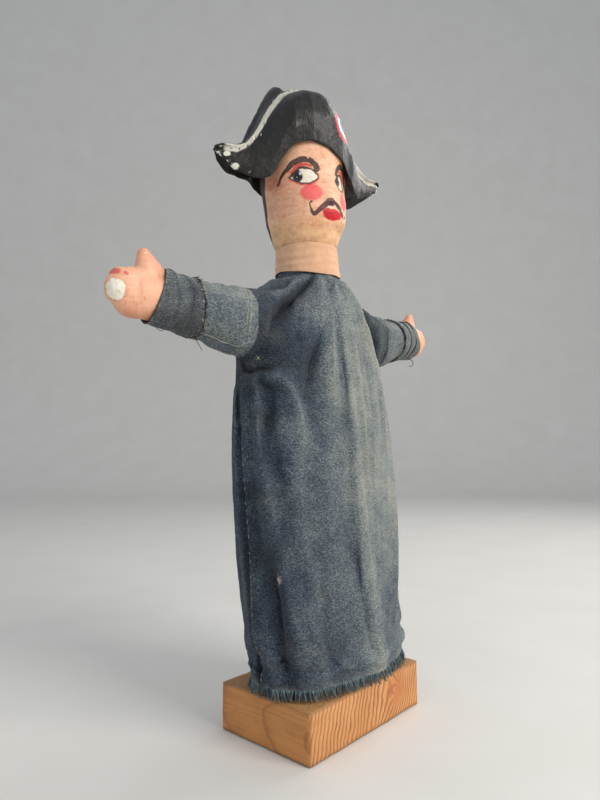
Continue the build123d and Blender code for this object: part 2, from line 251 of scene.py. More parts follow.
# ------------------------------------------------------------------ node material helpers
class Mat:
    def __init__(self, name):
        self.m = bpy.data.materials.new(name); self.m.use_nodes = True
        self.t = self.m.node_tree; self.b = self.t.nodes["Principled BSDF"]

    def n(self, kind, **kw):
        nd = self.t.nodes.new(kind)
        for k, v in kw.items():
            if k == "ins":
                for a, b in v.items():
                    if hasattr(b, "is_output") or isinstance(b, bpy.types.NodeSocket):
                        self.t.links.new(b, nd.inputs[a])
                    else:
                        nd.inputs[a].default_value = b
            else:
                setattr(nd, k, v)
        return nd

    def link(self, a, b):
        self.t.links.new(a, b)

    def coord(self, scale=1000., loc=(0, 0, 0), rot=(0, 0, 0)):
        """object coordinates, in millimetres, turned and shifted"""
        tc = self.n("ShaderNodeTexCoord")
        mp = self.n("ShaderNodeMapping"); self.link(tc.outputs["Object"], mp.inputs["Vector"])
        mp.inputs["Scale"].default_value = (scale,) * 3 if np.isscalar(scale) else scale
        mp.inputs["Location"].default_value = loc; mp.inputs["Rotation"].default_value = rot
        return mp.outputs["Vector"]

    def noise(self, vec, scale, detail=4., rough=.55, dist=0., out="Fac"):
        nd = self.n("ShaderNodeTexNoise"); self.link(vec, nd.inputs["Vector"])
        nd.inputs["Scale"].default_value = scale; nd.inputs["Detail"].default_value = detail
        nd.inputs["Roughness"].default_value = rough; nd.inputs["Distortion"].default_value = dist
        return nd.outputs[out]

    def ramp(self, fac, stops, interp="LINEAR"):
        r = self.n("ShaderNodeValToRGB"); self.link(fac, r.inputs["Fac"]); cr = r.color_ramp
        cr.interpolation = interp
        while len(cr.elements) > 1:
            cr.elements.remove(cr.elements[0])
        cr.elements[0].position = stops[0][0]; cr.elements[0].color = self.c4(stops[0][1])
        for p, c in stops[1:]:
            e = cr.elements.new(p); e.color = self.c4(c)
        return r.outputs["Color"]

    @staticmethod
    def c4(c):
        return (c, c, c, 1) if np.isscalar(c) else (tuple(c) + (1,))[:4]

    def mix(self, fac, a, b, mode="MIX"):
        m = self.n("ShaderNodeMix", data_type="RGBA", blend_type=mode)
        for i, v in ((0, fac), (6, a), (7, b)):
            if isinstance(v, bpy.types.NodeSocket):
                self.link(v, m.inputs[i])
            elif i == 0:
                m.inputs[0].default_value = v
            else:
                m.inputs[i].default_value = self.c4(v)
        return m.outputs[2]

    def math(self, op, a, b=0., c=0., clamp=False):
        m = self.n("ShaderNodeMath", operation=op, use_clamp=clamp)
        for i, v in ((0, a), (1, b), (2, c)):
            if isinstance(v, bpy.types.NodeSocket):
                self.link(v, m.inputs[i])
            else:
                m.inputs[i].default_value = v
        return m.outputs[0]

    def maprange(self, v, a, b, c=0., d=1., smooth=True):
        m = self.n("ShaderNodeMapRange", interpolation_type="SMOOTHSTEP" if smooth else "LINEAR")
        self.link(v, m.inputs["Value"])
        for k, x in (("From Min", a), ("From Max", b), ("To Min", c), ("To Max", d)):
            m.inputs[k].default_value = x
        return m.outputs["Result"]

    def attr(self, name, out="Color"):
        a = self.n("ShaderNodeAttribute", attribute_name=name)
        return a.outputs[out]

    def bump(self, h, dist, strength=1., base=None):
        b = self.n("ShaderNodeBump"); self.link(h, b.inputs["Height"])
        b.inputs["Distance"].default_value = dist; b.inputs["Strength"].default_value = strength
        if base is not None:
            self.link(base, b.inputs["Normal"])
        return b.outputs["Normal"]

    def out(self, color=None, rough=None, normal=None, **kw):
        for k, v in (("Base Color", color), ("Roughness", rough), ("Normal", normal), *kw.items()):
            if v is None:
                continue
            if isinstance(v, bpy.types.NodeSocket):
                self.link(v, self.b.inputs[k])
            elif k == "Base Color":
                self.b.inputs[k].default_value = self.c4(v)
            else:
                self.b.inputs[k].default_value = v
        return self.m


# ------------------------------------------------------------------ materials
def srgb(r, g, b):
    def f(x):
        x /= 255.
        return x / 12.92 if x <= .04045 else ((x + .055) / 1.055) ** 2.4
    return (f(r), f(g), f(b))


def cloth_mat(name, tint=1., fade_and_shade=.5, warm=0., twill=1.0, side=0.):
    """faded blue cotton twill: fine diagonal ribs, pale worn threads, blotches of old dye"""
    m = Mat(name)
    v = m.coord(1000.)
    big = m.noise(v, .018, 3., .5)
    mid = m.noise(v, .06, 4., .6, .4)
    sp = m.noise(v, .88, 2., .6)
    tw = m.noise(m.coord((700., 700., 700.), rot=(0, math.radians(38), math.radians(40))), .8, 2., .6)
    stv = m.noise(m.coord((420., 420., 1500.), rot=(math.radians(28), math.radians(34), 0)), 1.1, 2., .6)
    fine = m.noise(v, 2.2, 2., .7)
    tc = m.n("ShaderNodeTexCoord")
    sx = m.n("ShaderNodeSeparateXYZ"); m.link(v, sx.inputs[0])
    ax = m.math("ADD", sx.outputs[0], m.math("MULTIPLY", sx.outputs[1], -.8))
    wob = m.math("MULTIPLY", m.math("SUBTRACT", mid, .5), 2.6)
    # twill ribs run diagonally, warp threads upright
    rib = m.math("SINE", m.math("MULTIPLY", m.math("ADD", m.math("ADD", m.math("MULTIPLY", sx.outputs[2], .82), m.math("MULTIPLY", ax, .95)), wob), 4.6))
    warp = m.math("SINE", m.math("MULTIPLY", m.math("ADD", ax, m.math("MULTIPLY", fine, .5)), 9.5))
    weft = m.math("SINE", m.math("MULTIPLY", m.math("ADD", sx.outputs[2], m.math("MULTIPLY", fine, .5)), 8.7))
    h = m.math("ADD", m.math("MULTIPLY", rib, .40 * twill), m.math("ADD", m.math("MULTIPLY", warp, .16), m.math("MULTIPLY", weft, .16)))
    h = m.math("ADD", h, m.math("MULTIPLY", m.math("SUBTRACT", sp, .5), 1.3))
    # colour: deep blue to grey-green over the red channel, which holds painted light and shade (deep in the fold
    # valleys and on the shaded side, pale where light falls) on top of blotchy real fading
    d = m.attr("fade_and_shade", "Color")
    s3 = m.n("ShaderNodeSeparateColor"); m.link(d, s3.inputs[0])
    f = m.math("ADD", s3.outputs[0], m.math("MULTIPLY", m.math("SUBTRACT", mid, .5), .62), clamp=True)
    f = m.math("ADD", f, m.math("MULTIPLY", m.math("SUBTRACT", big, .5), .7), clamp=True)
    col = m.ramp(f, [(0., srgb(20, 30, 46)), (.25, srgb(44, 57, 74)), (.5, srgb(78, 89, 100)), (.75, srgb(112, 119, 120)), (1., srgb(152, 154, 146))])
    # brown-grey soiling
    soil = m.maprange(m.noise(v, .035, 4., .6, .3), .52, .72)
    col = m.mix(m.math("MULTIPLY", soil, .34), col, srgb(84, 84, 76))
    # pale worn specks on the ribs, dark between
    speck = m.maprange(m.math("ADD", m.math("ADD", m.math("MULTIPLY", sp, .5), m.math("MULTIPLY", stv, .5)), m.math("MULTIPLY", rib, .04)), .47, .60)
    amt = m.math("MULTIPLY", speck, m.maprange(f, .12, .72, .12, .64, False))
    col = m.mix(amt, col, srgb(176, 182, 176))
    dk = m.maprange(m.math("ADD", m.math("MULTIPLY", fine, .4), m.math("MULTIPLY", stv, .6)), .49, .34)
    col = m.mix(m.math("MULTIPLY", dk, .62), col, srgb(20, 27, 38))
    # seams, frays and painted shade by vertex: green darkens, as painted shade in the creases, the seam grooves and the
    # far armhole tuck, and as a dark ring round the darn; blue is pale thread
    col = m.mix(m.math("MULTIPLY", s3.outputs[1], .92), col, srgb(14, 17, 24))
    col = m.mix(s3.outputs[2], col, srgb(186, 184, 172))
    if warm:
        col = m.mix(warm, col, srgb(132, 124, 108))
    b = m.bump(m.math("ADD", h, m.math("MULTIPLY", stv, 2.4)), .00045, .9)
    b = m.bump(mid, .0011, .4, b)
    m.out(col, .88, b)
    m.b.inputs["Sheen Weight"].default_value = .12
    m.b.inputs["Sheen Roughness"].default_value = .5
    m.b.inputs["Specular IOR Level"].default_value = .18
    return m.m


def wood_mat():
    """softwood with the end grain on the long face"""
    m = Mat("softwood")
    v = m.coord(1000.)
    sx = m.n("ShaderNodeSeparateXYZ"); m.link(v, sx.inputs[0])
    X, Y, Z = sx.outputs[0], sx.outputs[1], sx.outputs[2]
    wob = m.math("MULTIPLY", m.math("SUBTRACT", m.noise(m.coord((18., 9., 18.)), 1., 3., .5), .5), 9.)
    kx, kz = 36., 22.
    # rings about a far pith below, turned aside near the knot
    dx = m.math("SUBTRACT", X, 300.); dz = m.math("ADD", Z, 62.)
    r0 = m.math("SQRT", m.math("ADD", m.math("MULTIPLY", dx, dx), m.math("MULTIPLY", dz, dz)))
    kdx = m.math("SUBTRACT", X, kx); kdz = m.math("SUBTRACT", Z, kz)
    kr = m.math("SQRT", m.math("ADD", m.math("MULTIPLY", kdx, kdx), m.math("MULTIPLY", kdz, kdz)))
    kf = m.math("MULTIPLY", m.math("POWER", 2.718, m.math("MULTIPLY", kr, -.085)), 22.)
    r = m.math("ADD", m.math("ADD", r0, wob), kf)
    r = m.math("ADD", r, m.math("MULTIPLY", Y, .16))
    r = m.math("ADD", r, m.math("MULTIPLY", m.math("SUBTRACT", m.noise(m.coord((45., 20., 60.)), 1., 2., .5), .5), 7.))
    per = m.math("ADD", 0.235, m.math("MULTIPLY", X, -.0008))
    ph = m.math("FRACT", m.math("MULTIPLY", r, .235))
    late = m.ramp(ph, [(0., 0.), (.5, .12), (.8, .75), (.93, 1.), (.975, .85), (1., 0.)])
    fib = m.noise(m.coord((1100., 26., 1100.)), .9, 3., .7)
    por = m.noise(m.coord((1000., 1000., 1000.)), 1.5, 2., .7)
    face = m.attr("face", "Color"); s3 = m.n("ShaderNodeSeparateColor"); m.link(face, s3.inputs[0])
    end, top, edge = s3.outputs[0], s3.outputs[1], s3.outputs[2]
    big = m.noise(v, .03, 2., .5)
    base_l = m.ramp(m.math("ADD", m.math("MULTIPLY", fib, .65), m.math("MULTIPLY", big, .35)), [(.25, srgb(150, 92, 46)), (.5, srgb(192, 128, 68)), (.8, srgb(210, 148, 86))])
    # long-grain faces: broad pale figure with thin dark lines
    ph2 = m.math("FRACT", m.math("MULTIPLY", m.math("ADD", m.math("ADD", m.math("MULTIPLY", Y, .55), m.math("MULTIPLY", m.math("MULTIPLY", m.math("SUBTRACT", Z, 14.), m.math("SUBTRACT", Z, 22.)), .026)), m.math("MULTIPLY", wob, 4.2)), .037))
    line = m.ramp(ph2, [(0., 0.), (.72, .0), (.86, .35), (.93, 1.), (.97, .4), (1., 0.)])
    colL = m.mix(m.math("MULTIPLY", line, .5), base_l, srgb(122, 70, 36))
    base_e = m.ramp(m.math("ADD", m.math("MULTIPLY", por, .5), m.math("MULTIPLY", big, .5)), [(.25, srgb(182, 120, 68)), (.55, srgb(214, 152, 94)), (.8, srgb(232, 178, 116))])
    colE = m.mix(m.math("MULTIPLY", late, m.maprange(m.noise(m.coord((60., 60., 26.)), 1., 3., .6), .3, .7, .55, .98)), base_e, srgb(132, 74, 36))
    knot = m.maprange(kr, 20., 3.)
    colE = m.mix(m.math("MULTIPLY", knot, .50), colE, srgb(190, 100, 54))
    saw = m.noise(m.coord((500., 1400., 800.)), 1.2, 3., .8)
    colT = m.mix(m.maprange(saw, .35, .65), srgb(150, 104, 60), srgb(214, 164, 108))
    colT = m.mix(m.math("MULTIPLY", late, .18), colT, srgb(132, 84, 46))
    col = m.mix(end, colL, colE); col = m.mix(m.math("MULTIPLY", top, .85), col, colT)
    worn = m.maprange(m.math("ADD", edge, m.math("MULTIPLY", m.math("SUBTRACT", por, .5), .6)), .45, .9)
    col = m.mix(m.math("MULTIPLY", worn, .4), col, srgb(96, 62, 36))
    nick = m.maprange(m.noise(v, .35, 3., .7), .70, .78)
    col = m.mix(m.math("MULTIPLY", nick, .6), col, srgb(74, 48, 30))
    darkening = m.maprange(m.noise(v, .05, 4., .6, .5), .5, .8)
    col = m.mix(m.math("MULTIPLY", darkening, .28), col, srgb(124, 78, 42))
    low = m.maprange(Z, 5., 0.)
    col = m.mix(m.math("MULTIPLY", low, .35), col, srgb(92, 58, 34))
    h = m.math("ADD", m.math("MULTIPLY", m.math("MULTIPLY", late, end), -1.2), m.math("MULTIPLY", fib, .5))
    h = m.math("ADD", h, m.math("MULTIPLY", m.math("MULTIPLY", saw, top), 2.2))
    b = m.bump(h, .0004, .8)
    b = m.bump(m.math("MULTIPLY", nick, -1.), .0006, .7, b)
    return m.out(col, m.maprange(por, .2, .8, .5, .72, False), b)


def plain_detail(name, c1, c2, rough=.6, metal=0., scale=.6, bump=.0002, stretch=(1, 1, 1)):
    m = Mat(name)
    v = m.coord(tuple(1000. * s for s in stretch))
    f = m.noise(v, scale, 4., .6); g = m.noise(v, scale * 6, 2., .6)
    col = m.mix(m.maprange(f, .3, .7), c1, c2)
    col = m.mix(m.math("MULTIPLY", m.maprange(g, .55, .75), .35), col, tuple(.45 * x for x in c1))
    m.out(col, m.maprange(g, .3, .7, max(.05, rough - .12), min(1., rough + .12), False), m.bump(g, bump, .6))
    m.b.inputs["Metallic"].default_value = metal
    return m.m


M_WOOD = wood_mat()
M_CLOTH = cloth_mat("blue_twill")
M_SLEEVE = cloth_mat("blue_twill_sleeve", warm=.16)
M_THREAD_PALE = plain_detail("pale_thread", srgb(190, 186, 168), srgb(150, 146, 130), .9, 0, 2.)
M_THREAD_DARK = plain_detail("dark_thread", srgb(24, 24, 28), srgb(44, 44, 50), .9, 0, 2.)
M_DOWEL = plain_detail("dowel", srgb(200, 160, 110), srgb(172, 128, 80), .6, 0, .9, .0002, (1, 1, .06))
M_STEEL = plain_detail("zinc_steel", srgb(150, 150, 148), srgb(118, 118, 120), .35, 1., 1.2)
M_WIRE = plain_detail("soft_wire", srgb(120, 116, 110), srgb(84, 80, 76), .45, 1., 1.4)
M_CARD = plain_detail("grey_card", srgb(158, 138, 108), srgb(132, 112, 84), .9, 0, .8, .0001, (1, 1, .2))
M_FELT = plain_detail("grey_felt", srgb(120, 116, 108), srgb(86, 84, 80), .95, 0, 1.6, .0006)
M_STRING = plain_detail("string", srgb(176, 160, 126), srgb(130, 114, 84), .9, 0, 1.6, .0003)

# ------------------------------------------------------------------ stage, light, camera
fl = bpy.data.meshes.new("floor")
ns = 48
fv, ff = [], []
prof = [(-1.4, 0.)] + [(y, 0.) for y in np.linspace(-1.0, 2.2, 12)]
for k in range(1, 13):
    a = math.pi / 2 * k / 12
    prof.append((2.2 + .8 * math.sin(a), .8 - .8 * math.cos(a)))
prof += [(3.0, 1.6), (3.0, 3.0)]
fwd = np.array([math.sin(math.radians(48.4)), math.cos(math.radians(48.4)), 0.]); rgt = np.array([fwd[1], -fwd[0], 0.])
for (d, z) in prof:
    for x in np.linspace(-3.5, 3.5, ns):
        p = fwd * d + rgt * x; fv.append((p[0], p[1], z))
for i in range(len(prof) - 1):
    for j in range(ns - 1):
        a = i * ns + j; ff.append((a, a + 1, a + ns + 1, a + ns))
fl.from_pydata(fv, [], ff); fl.polygons.foreach_set("use_smooth", [True] * len(fl.polygons))
floor = bpy.data.objects.new("floor", fl); bpy.context.scene.collection.objects.link(floor)
mf = Mat("pale_floor"); vv = mf.coord(1000.)
mf.out(mf.mix(mf.noise(vv, .01, 3., .5), srgb(216, 212, 206), srgb(226, 223, 218)), .6, mf.bump(mf.noise(vv, .35, 4., .7), .0002, .3))
fl.materials.append(mf.m)

world = bpy.data.worlds.new("soft"); world.use_nodes = True
bg = world.node_tree.nodes["Background"]; bg.inputs[0].default_value = (.86, .93, 1., 1); bg.inputs[1].default_value = .50
bpy.context.scene.world = world


def area(name, loc, target, size, power, color=(1, 1, 1), size_y=None):
    l = bpy.data.lights.new(name, "AREA"); l.energy = power; l.size = size; l.color = color
    if size_y:
        l.shape = "RECTANGLE"; l.size_y = size_y
    o = bpy.data.objects.new(name, l); bpy.context.scene.collection.objects.link(o)
    o.location = loc
    o.rotation_mode = "QUATERNION"; o.rotation_quaternion = (Vector(target) - Vector(loc)).to_track_quat("-Z", "Y")
    return o


CC = np.array([0, 0, .27])
area("key", tuple(CC - fwd * .95 + rgt * 1.35 + np.array([0, 0, .85])), tuple(CC), 1.1, 30., (1., .965, .91), 1.0)
area("fill", tuple(CC - fwd * 1.3 - rgt * 1.2 + np.array([0, 0, .5])), tuple(CC), 1.4, 5.0, (.86, .93, 1.))
area("rim", tuple(CC + fwd * .9 + rgt * .9 + np.array([0, 0, 1.0])), tuple(CC), .9, 8., (1., .98, .95))

cam_d = bpy.data.cameras.new("camera"); cam = bpy.data.objects.new("camera", cam_d)
bpy.context.scene.collection.objects.link(cam); bpy.context.scene.camera = cam
cam.location = (-.39654, -.32786, .21861)
r_, u_, w_ = np.array([.664827, -.746976, -.005595]), np.array([-.054786, -.056227, .996914]), np.array([.744985, .662469, .078305])
cam.matrix_world = Matrix(((r_[0], u_[0], -w_[0], -.39654), (r_[1], u_[1], -w_[1], -.32786), (r_[2], u_[2], -w_[2], .21861), (0, 0, 0, 1)))
cam_d.sensor_fit = "HORIZONTAL"; cam_d.sensor_width = 36.; cam_d.lens = 606.15 * 36 / 600.
cam_d.clip_start = .01; cam_d.clip_end = 20.
bpy.context.scene.view_settings.view_transform = "Standard"

# ------------------------------------------------------------------ the block
def build_block():
    lo, hi = BLK_LO * 1000, BLK_HI * 1000
    sz = hi - lo; c = (lo + hi) / 2
    bm = bmesh.new()
    n = [int(s / 1.5) for s in sz]
    # six gridded faces, welded
    V, F = [], []
    def face(o, a, b, na, nb):
        base = len(V)
        for i in range(na + 1):
            for j in range(nb + 1):
                V.append(o + a * i / na + b * j / nb)
        for i in range(na):
            for j in range(nb):
                q = base + i * (nb + 1) + j
                F.append((q, q + nb + 1, q + nb + 2, q + 1))
    ex, ey, ez = np.diag(sz)
    face(lo, ex, ez, n[0], n[2]); face(lo + ey, ez, ex, n[2], n[0])
    face(lo, ez, ey, n[2], n[1]); face(lo + ex, ey, ez, n[1], n[2])
    face(lo, ey, ex, n[1], n[0]); face(lo + ez, ex, ey, n[0], n[1])
    V = np.array(V) - c
    h = sz / 2
    # ease every edge by an amount that wanders, and knock the corners
    nz = fbm(V, 24., 5, 3)
    rad = 2.2 + 1.4 * nz + .5 * fbm(V, 5., 9, 2)
    rad = np.clip(rad, .7, 4.2)
    vert = 3.2 + .8 * fbm(V * [1, 1, .3], 18., 3, 2)
    q = np.abs(V); sg = np.sign(V)
    # upright corners first, then top and bottom edges
    d = q[:, :2] - (h[:2] - vert[:, None])
    both = (d > 0).all(axis=1)
    ln = np.linalg.norm(np.maximum(d, 0), axis=1)
    f = np.where(both & (ln > vert), vert / np.maximum(ln, 1e-6), 1.)
    q2 = q.copy()
    q2[:, :2] = np.where(both[:, None], (h[:2] - vert[:, None]) + np.maximum(d, 0) * f[:, None], q[:, :2])
    side = np.minimum(h[0] - q2[:, 0], h[1] - q2[:, 1])
    zz = h[2] - q2[:, 2]
    r = rad
    inx, iny = np.clip(r - side, 0, None), np.clip(r - zz, 0, None)
    lr = np.hypot(inx, iny); m = (inx > 0) & (iny > 0) & (lr > r)
    k = np.where(m, r / np.maximum(lr, 1e-6), 1.)
    dz = iny * (1 - k); dr = inx * (1 - k)
    q2[:, 2] -= dz
    # pull in sideways towards the nearer face
    nx = (h[0] - q2[:, 0]) < (h[1] - q2[:, 1])
    q2[:, 0] -= np.where(nx, dr, 0); q2[:, 1] -= np.where(~nx, dr, 0)
    P = q2 * sg + c
    # rough-sawn top, faint saw marks on the faces
    topm = V[:, 2] > h[2] - .01
    P[topm, 2] -= np.abs(fbm(V[topm] * [1, .35, 1], 2.6, 4, 3)) * .35
    endm = (V[:, 1] < -h[1] + .01)
    P[endm, 1] += np.abs(fbm(V[endm] * [1, 1, .15], 3., 14, 2)) * .22
    low = P[:, 2] < .6
    P[low & (V[:, 2] < -h[2] + .01), 2] = np.maximum(P[low & (V[:, 2] < -h[2] + .01), 2], 0)
    me = bpy.data.meshes.new("block"); me.from_pydata([tuple(p * .001) for p in P], [], F)
    bm.from_mesh(me); bmesh.ops.remove_doubles(bm, verts=bm.verts, dist=2e-5); bmesh.ops.recalc_face_normals(bm, faces=bm.faces)
    bm.to_mesh(me); bm.free()
    o = bpy.data.objects.new("block", me); bpy.context.scene.collection.objects.link(o)
    me.polygons.foreach_set("use_smooth", [True] * len(me.polygons))
    N = normals_of(o); co = co_of(o) * 1000 - c
    e = np.abs(co) / h
    s = np.sort(h - np.abs(co), axis=1)
    edge = 1 - np.clip(s[:, 1] / 4.5, 0, 1)
    endf = sstep(.5, .8, np.abs(N[:, 1])); topf = sstep(.6, .85, np.abs(N[:, 2]))
    set_color(o, "face", np.stack([endf, topf, edge], 1))
    me.materials.append(M_WOOD)
    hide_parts("base_block"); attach(o, "stand")
    return o


block = build_block()

# ------------------------------------------------------------------ the glove
TORSO = np.array([(-8, 79, 46, -1.5), (30, 81.5, 46.5, -1.5), (75, 85, 46.5, -1), (130, 89, 45.5, -.5), (190, 90.5, 44.5, 0),
                  (235, 87.5, 41.5, 0), (265, 81, 38.5, 0), (290, 70, 36.5, 0), (310, 53, 34, 0), (322, 37, 31, 0), (332, 27.2, 27.2, 0), (346, 26.4, 26.4, 0)], float)
HEM = 43.5


def remesh_smooth(o, voxel, it):
    m = o.modifiers.new("r", "REMESH"); m.mode = "VOXEL"; m.voxel_size = voxel; m.use_smooth_shade = True
    m = o.modifiers.new("s", "SMOOTH"); m.iterations = it; m.factor = .5
    apply_mods(o)


def garment_shape():
    parts = []
    nt = 96
    zs = np.arange(-16, 347, 4.)
    V = []
    for z in zs:
        a, b, c = [np.interp(z, TORSO[:, 0], TORSO[:, k]) for k in (1, 2, 3)]
        a -= .8; b -= .8
        for t in np.linspace(0, 2 * math.pi, nt, endpoint=False):
            V.append((a * math.cos(t), c + b * math.sin(t), z))
    V = np.array(V); F = grid_faces(len(zs), nt)
    F.append(tuple(range(nt))[::-1]); F.append(tuple((len(zs) - 1) * nt + k for k in range(nt)))
    parts.append((V, F))
    for sgn in (-1, 1):
        us = np.arange(30, 139, 4.); V = []
        for u in us:
            r = np.interp(u, (30, 70, 84, 100, 138), (25, 24.2, 22.6, 21., 20.3))
            for t in np.linspace(0, 2 * math.pi, 64, endpoint=False):
                V.append((sgn * u, r * math.cos(t), ARM_Z + r * math.sin(t) - .2 * sgn * 0))
        V = np.array(V); F = grid_faces(len(us), 64, flip=(sgn < 0))
        F.append(tuple(range(64))[::-1] if sgn > 0 else tuple(range(64)))
        F.append(tuple((len(us) - 1) * 64 + k for k in range(64)) if sgn > 0 else tuple((len(us) - 1) * 64 + k for k in range(64))[::-1])
        parts.append((V, F))
    V, F = merged(parts)
    o = obj_from("glove", V, F)
    bm = bmesh.new(); bm.from_mesh(o.data); bmesh.ops.recalc_face_normals(bm, faces=bm.faces); bm.to_mesh(o.data); bm.free()
    remesh_smooth(o, .0034, 3)
    # soften the crotch under and over each arm
    co = L(co_of(o)); bm = bmesh.new(); bm.from_mesh(o.data)
    for it in range(14):
        c = np.array([v.co for v in bm.verts]); l = L(c)
        u = np.abs(l[:, 0]); w = np.exp(-((u - 74) / 14.) ** 2) * sstep(235, 255, l[:, 2]) * (1 - sstep(318, 326, l[:, 2]))
        new = c.copy()
        for v in bm.verts:
            if w[v.index] > .03:
                s = Vector((0, 0, 0)); k = 0
                for e in v.link_edges:
                    s += e.other_vert(v).co; k += 1
                new[v.index] = c[v.index] * (1 - .6 * w[v.index]) + np.array(s / k) * .6 * w[v.index]
        for v in bm.verts:
            v.co = new[v.index]
    # open it at the hem, at the neck and at the sleeve ends
    def cut(co_, no):
        g = list(bm.verts) + list(bm.edges) + list(bm.faces)
        bmesh.ops.bisect_plane(bm, geom=g, plane_co=co_, plane_no=no, clear_outer=True)
    cut((0, 0, HEM * .001), (0, 0, -1))
    cut(tuple(W((0, 0, 338.))), tuple(ZV))
    cut(tuple(W((-132., 0, 0))), tuple(-XV)); cut(tuple(W((132., 0, 0))), tuple(XV))
    bm.to_mesh(o.data); bm.free()
    return o


SNAP = None


def on_form(pts):
    """the strokes below are laid on the cloth's own surface"""
    line = smooth_line(pts)
    if SNAP is None:
        return line
    return np.array([tuple(SNAP.find_nearest(tuple(p))[0]) for p in line])


def valley(P, pts, width, depth, skew=0.):
    d, t = seg_field(P, on_form(pts), None)
    e = np.sin(np.pi * np.clip(t, .03, .97)) ** .5
    return depth * e * (.6 * np.exp(-(d / width) ** 2) + .4 * np.exp(-d / (.55 * width)))


def big_folds(P, N):
    """height along the normal, mm"""
    x, y, z = P.T
    u = np.abs(x)
    h = np.zeros(len(P))
    front = y < 4
    def V(pts, w, dep):
        return valley(P, pts, w, dep)
    # gathers running out of the neck
    th = np.arctan2(x, -y)
    g = (1 - sstep(318, 336, z)) * sstep(262, 322, z)
    amp = 1.7 * np.exp(-((z - 318) / 18.) ** 2) * (1 - sstep(323, 330, z)) * (.55 + .45 * np.sin(3.1 * th + 2))
    k = np.cos(11 * th + 1.6 * np.sin(2.2 * th + 1) + (z - 320) * .012)
    h += np.where(u < 66, amp * (k - .1), 0) * (1 - sstep(52, 66, u))
    # the long drag line from the neck to the near armhole, its ridge beside it
    h -= V([(-21, -26, 325), (-36, -25, 314), (-50, -24, 300), (-61, -20, 286), (-72, -14, 276)], 6.0, 9.5)
    h -= V([(-21, -26, 327), (-36, -25, 315), (-50, -24, 301), (-61, -20, 287), (-72, -14, 277)], 2.0, 2.6)
    h += V([(-29, -21, 324), (-44, -17, 310), (-57, -11, 299), (-70, -5, 292)], 5., 4.4)
    h -= V([(-37, -9, 325), (-46, -13, 312), (-56, -8, 303)], 3.6, 3.0)
    h -= V([(27, -25, 326), (42, -27, 308), (55, -26, 292), (66, -24, 274), (76, -16, 256)], 5.5, 10.5)
    h += V([(17, -31, 322), (29, -33, 304), (41, -34, 284), (51, -33, 262), (60, -30, 240)], 5.5, 4.5)
    h += V([(30, -22, 324), (46, -19, 309), (60, -12, 297), (72, -6, 288)], 5., 2.6)
    h += V([(-30, 2, 330), (-41, 3, 321), (-51, 3, 313), (-62, 2, 308)], 5., 4.2)
    # armpit creases
    h -= V([(-92, 0, 258), (-83, -3, 253), (-76, -12, 252.5), (-68, -20, 250)], 2.2, 4.6)
    h -= V([(-84, -10, 268), (-76, -20, 262), (-66, -28, 258)], 4.0, 2.6)
    h -= V([(92, 0, 262), (82, -3, 254), (74, -13, 251), (66, -22, 246)], 3.4, 4.0)
    h += V([(-74, -15, 249), (-69, -22, 241), (-63, -28, 228), (-58, -31, 215), (-56, -33, 198), (-57, -33, 180)], 5.5, 5.0)
    h -= V([(-77, -14, 240), (-73, -21, 226), (-75, -20, 212), (-79, -18, 195), (-80, -18, 170)], 5.6, 4.2)
    h -= V([(-22, -35, 280), (-32, -35, 263), (-40, -35, 247), (-47, -34, 228)], 5.6, 6.0)
    h += V([(-14, -37, 286), (-19, -38, 262), (-23, -39, 238), (-24, -40, 214)], 5.6, 4.0)
    h -= V([(-8, -36, 288), (-9, -38, 266), (-7, -40, 244), (-12, -42, 214), (-18, -43, 188)], 6.2, 4.4)
    h += V([(6, -34, 300), (8, -36, 272), (10, -38, 240), (14, -41, 200)], 9, 1.6)
    h -= V([(30, -34, 286), (34, -34, 262), (36, -36, 232), (34, -38, 196)], 8, 2.8)
    h -= V([(58, -30, 262), (56, -32, 226), (54, -34, 186), (56, -34, 150)], 8, 2.4)
    # long soft flutes down the skirt and the pleat by the near side
    low = 1 - sstep(60, 210, z)
    h += low * (1.7 * np.sin(x * .105 + 1.1) + .9 * np.sin(x * .19 + z * .012)) * np.where(front, 1, .9)
    h -= V([(-80, -15, 104), (-78, -18, 75), (-77, -19, 54), (-75, -21, 33), (-71, -23, 4)], 5.0, 6.4)
    h += V([(-84, -6, 100), (-83, -8, 70), (-81, -10, 42), (-77, -14, 6)], 5.5, 2.2)
    h -= V([(-16, -46, 106), (-13, -47, 88), (-10, -47, 70), (-4, -48, 46), (4, -48, 18)], 4.4, 4.4)
    h += V([(-24, -45, 100), (-19, -46, 68), (-15, -47, 42), (-8, -48, 8)], 5.6, 1.5)
    # the back hangs plainer, from the gathers
    bk = sstep(4, 14, y)
    h += bk * sstep(30, 120, z) * (1 - sstep(300, 322, z)) * (1.9 * np.sin(x * .085 + .7 * np.sin(z * .018)) + .8 * np.sin(x * .17 + 2 + z * .01))
    # creases on the sleeves
    ang = np.arctan2(z - ARM_Z, -y)
    for sg, ph in ((-1, 0.), (1, 1.7)):
        m = (x * sg > 0) & (u > 78)
        s = np.where(m, sstep(78, 92, u) * (1 - sstep(124, 131, u)), 0)
        h += s * (.9 * np.sin(u * .42 + 1.1 * np.sin(ang * 2 + ph) + ph) * (.6 + .4 * np.cos(ang - 2.6)) + .45 * fbm(P, 9., 31, 2))
    # far sleeve: one deep tuck at the top of the armhole
    h -= V([(70, -6, 316), (80, -12, 305), (88, -20, 296), (90, -22, 284)], 3.6, 4.6) 
    h += V([(76, -16, 306), (84, -22, 294), (88, -22, 280), (88, -16, 270)], 4.0, 2.2)
    h += .55 * fbm(P, 26., 7, 3) + .3 * fbm(P, 7., 8, 3)
    # the torso's half-width at each height, not used
    a = np.interp(z, TORSO[:, 0], TORSO[:, 1])
    return h


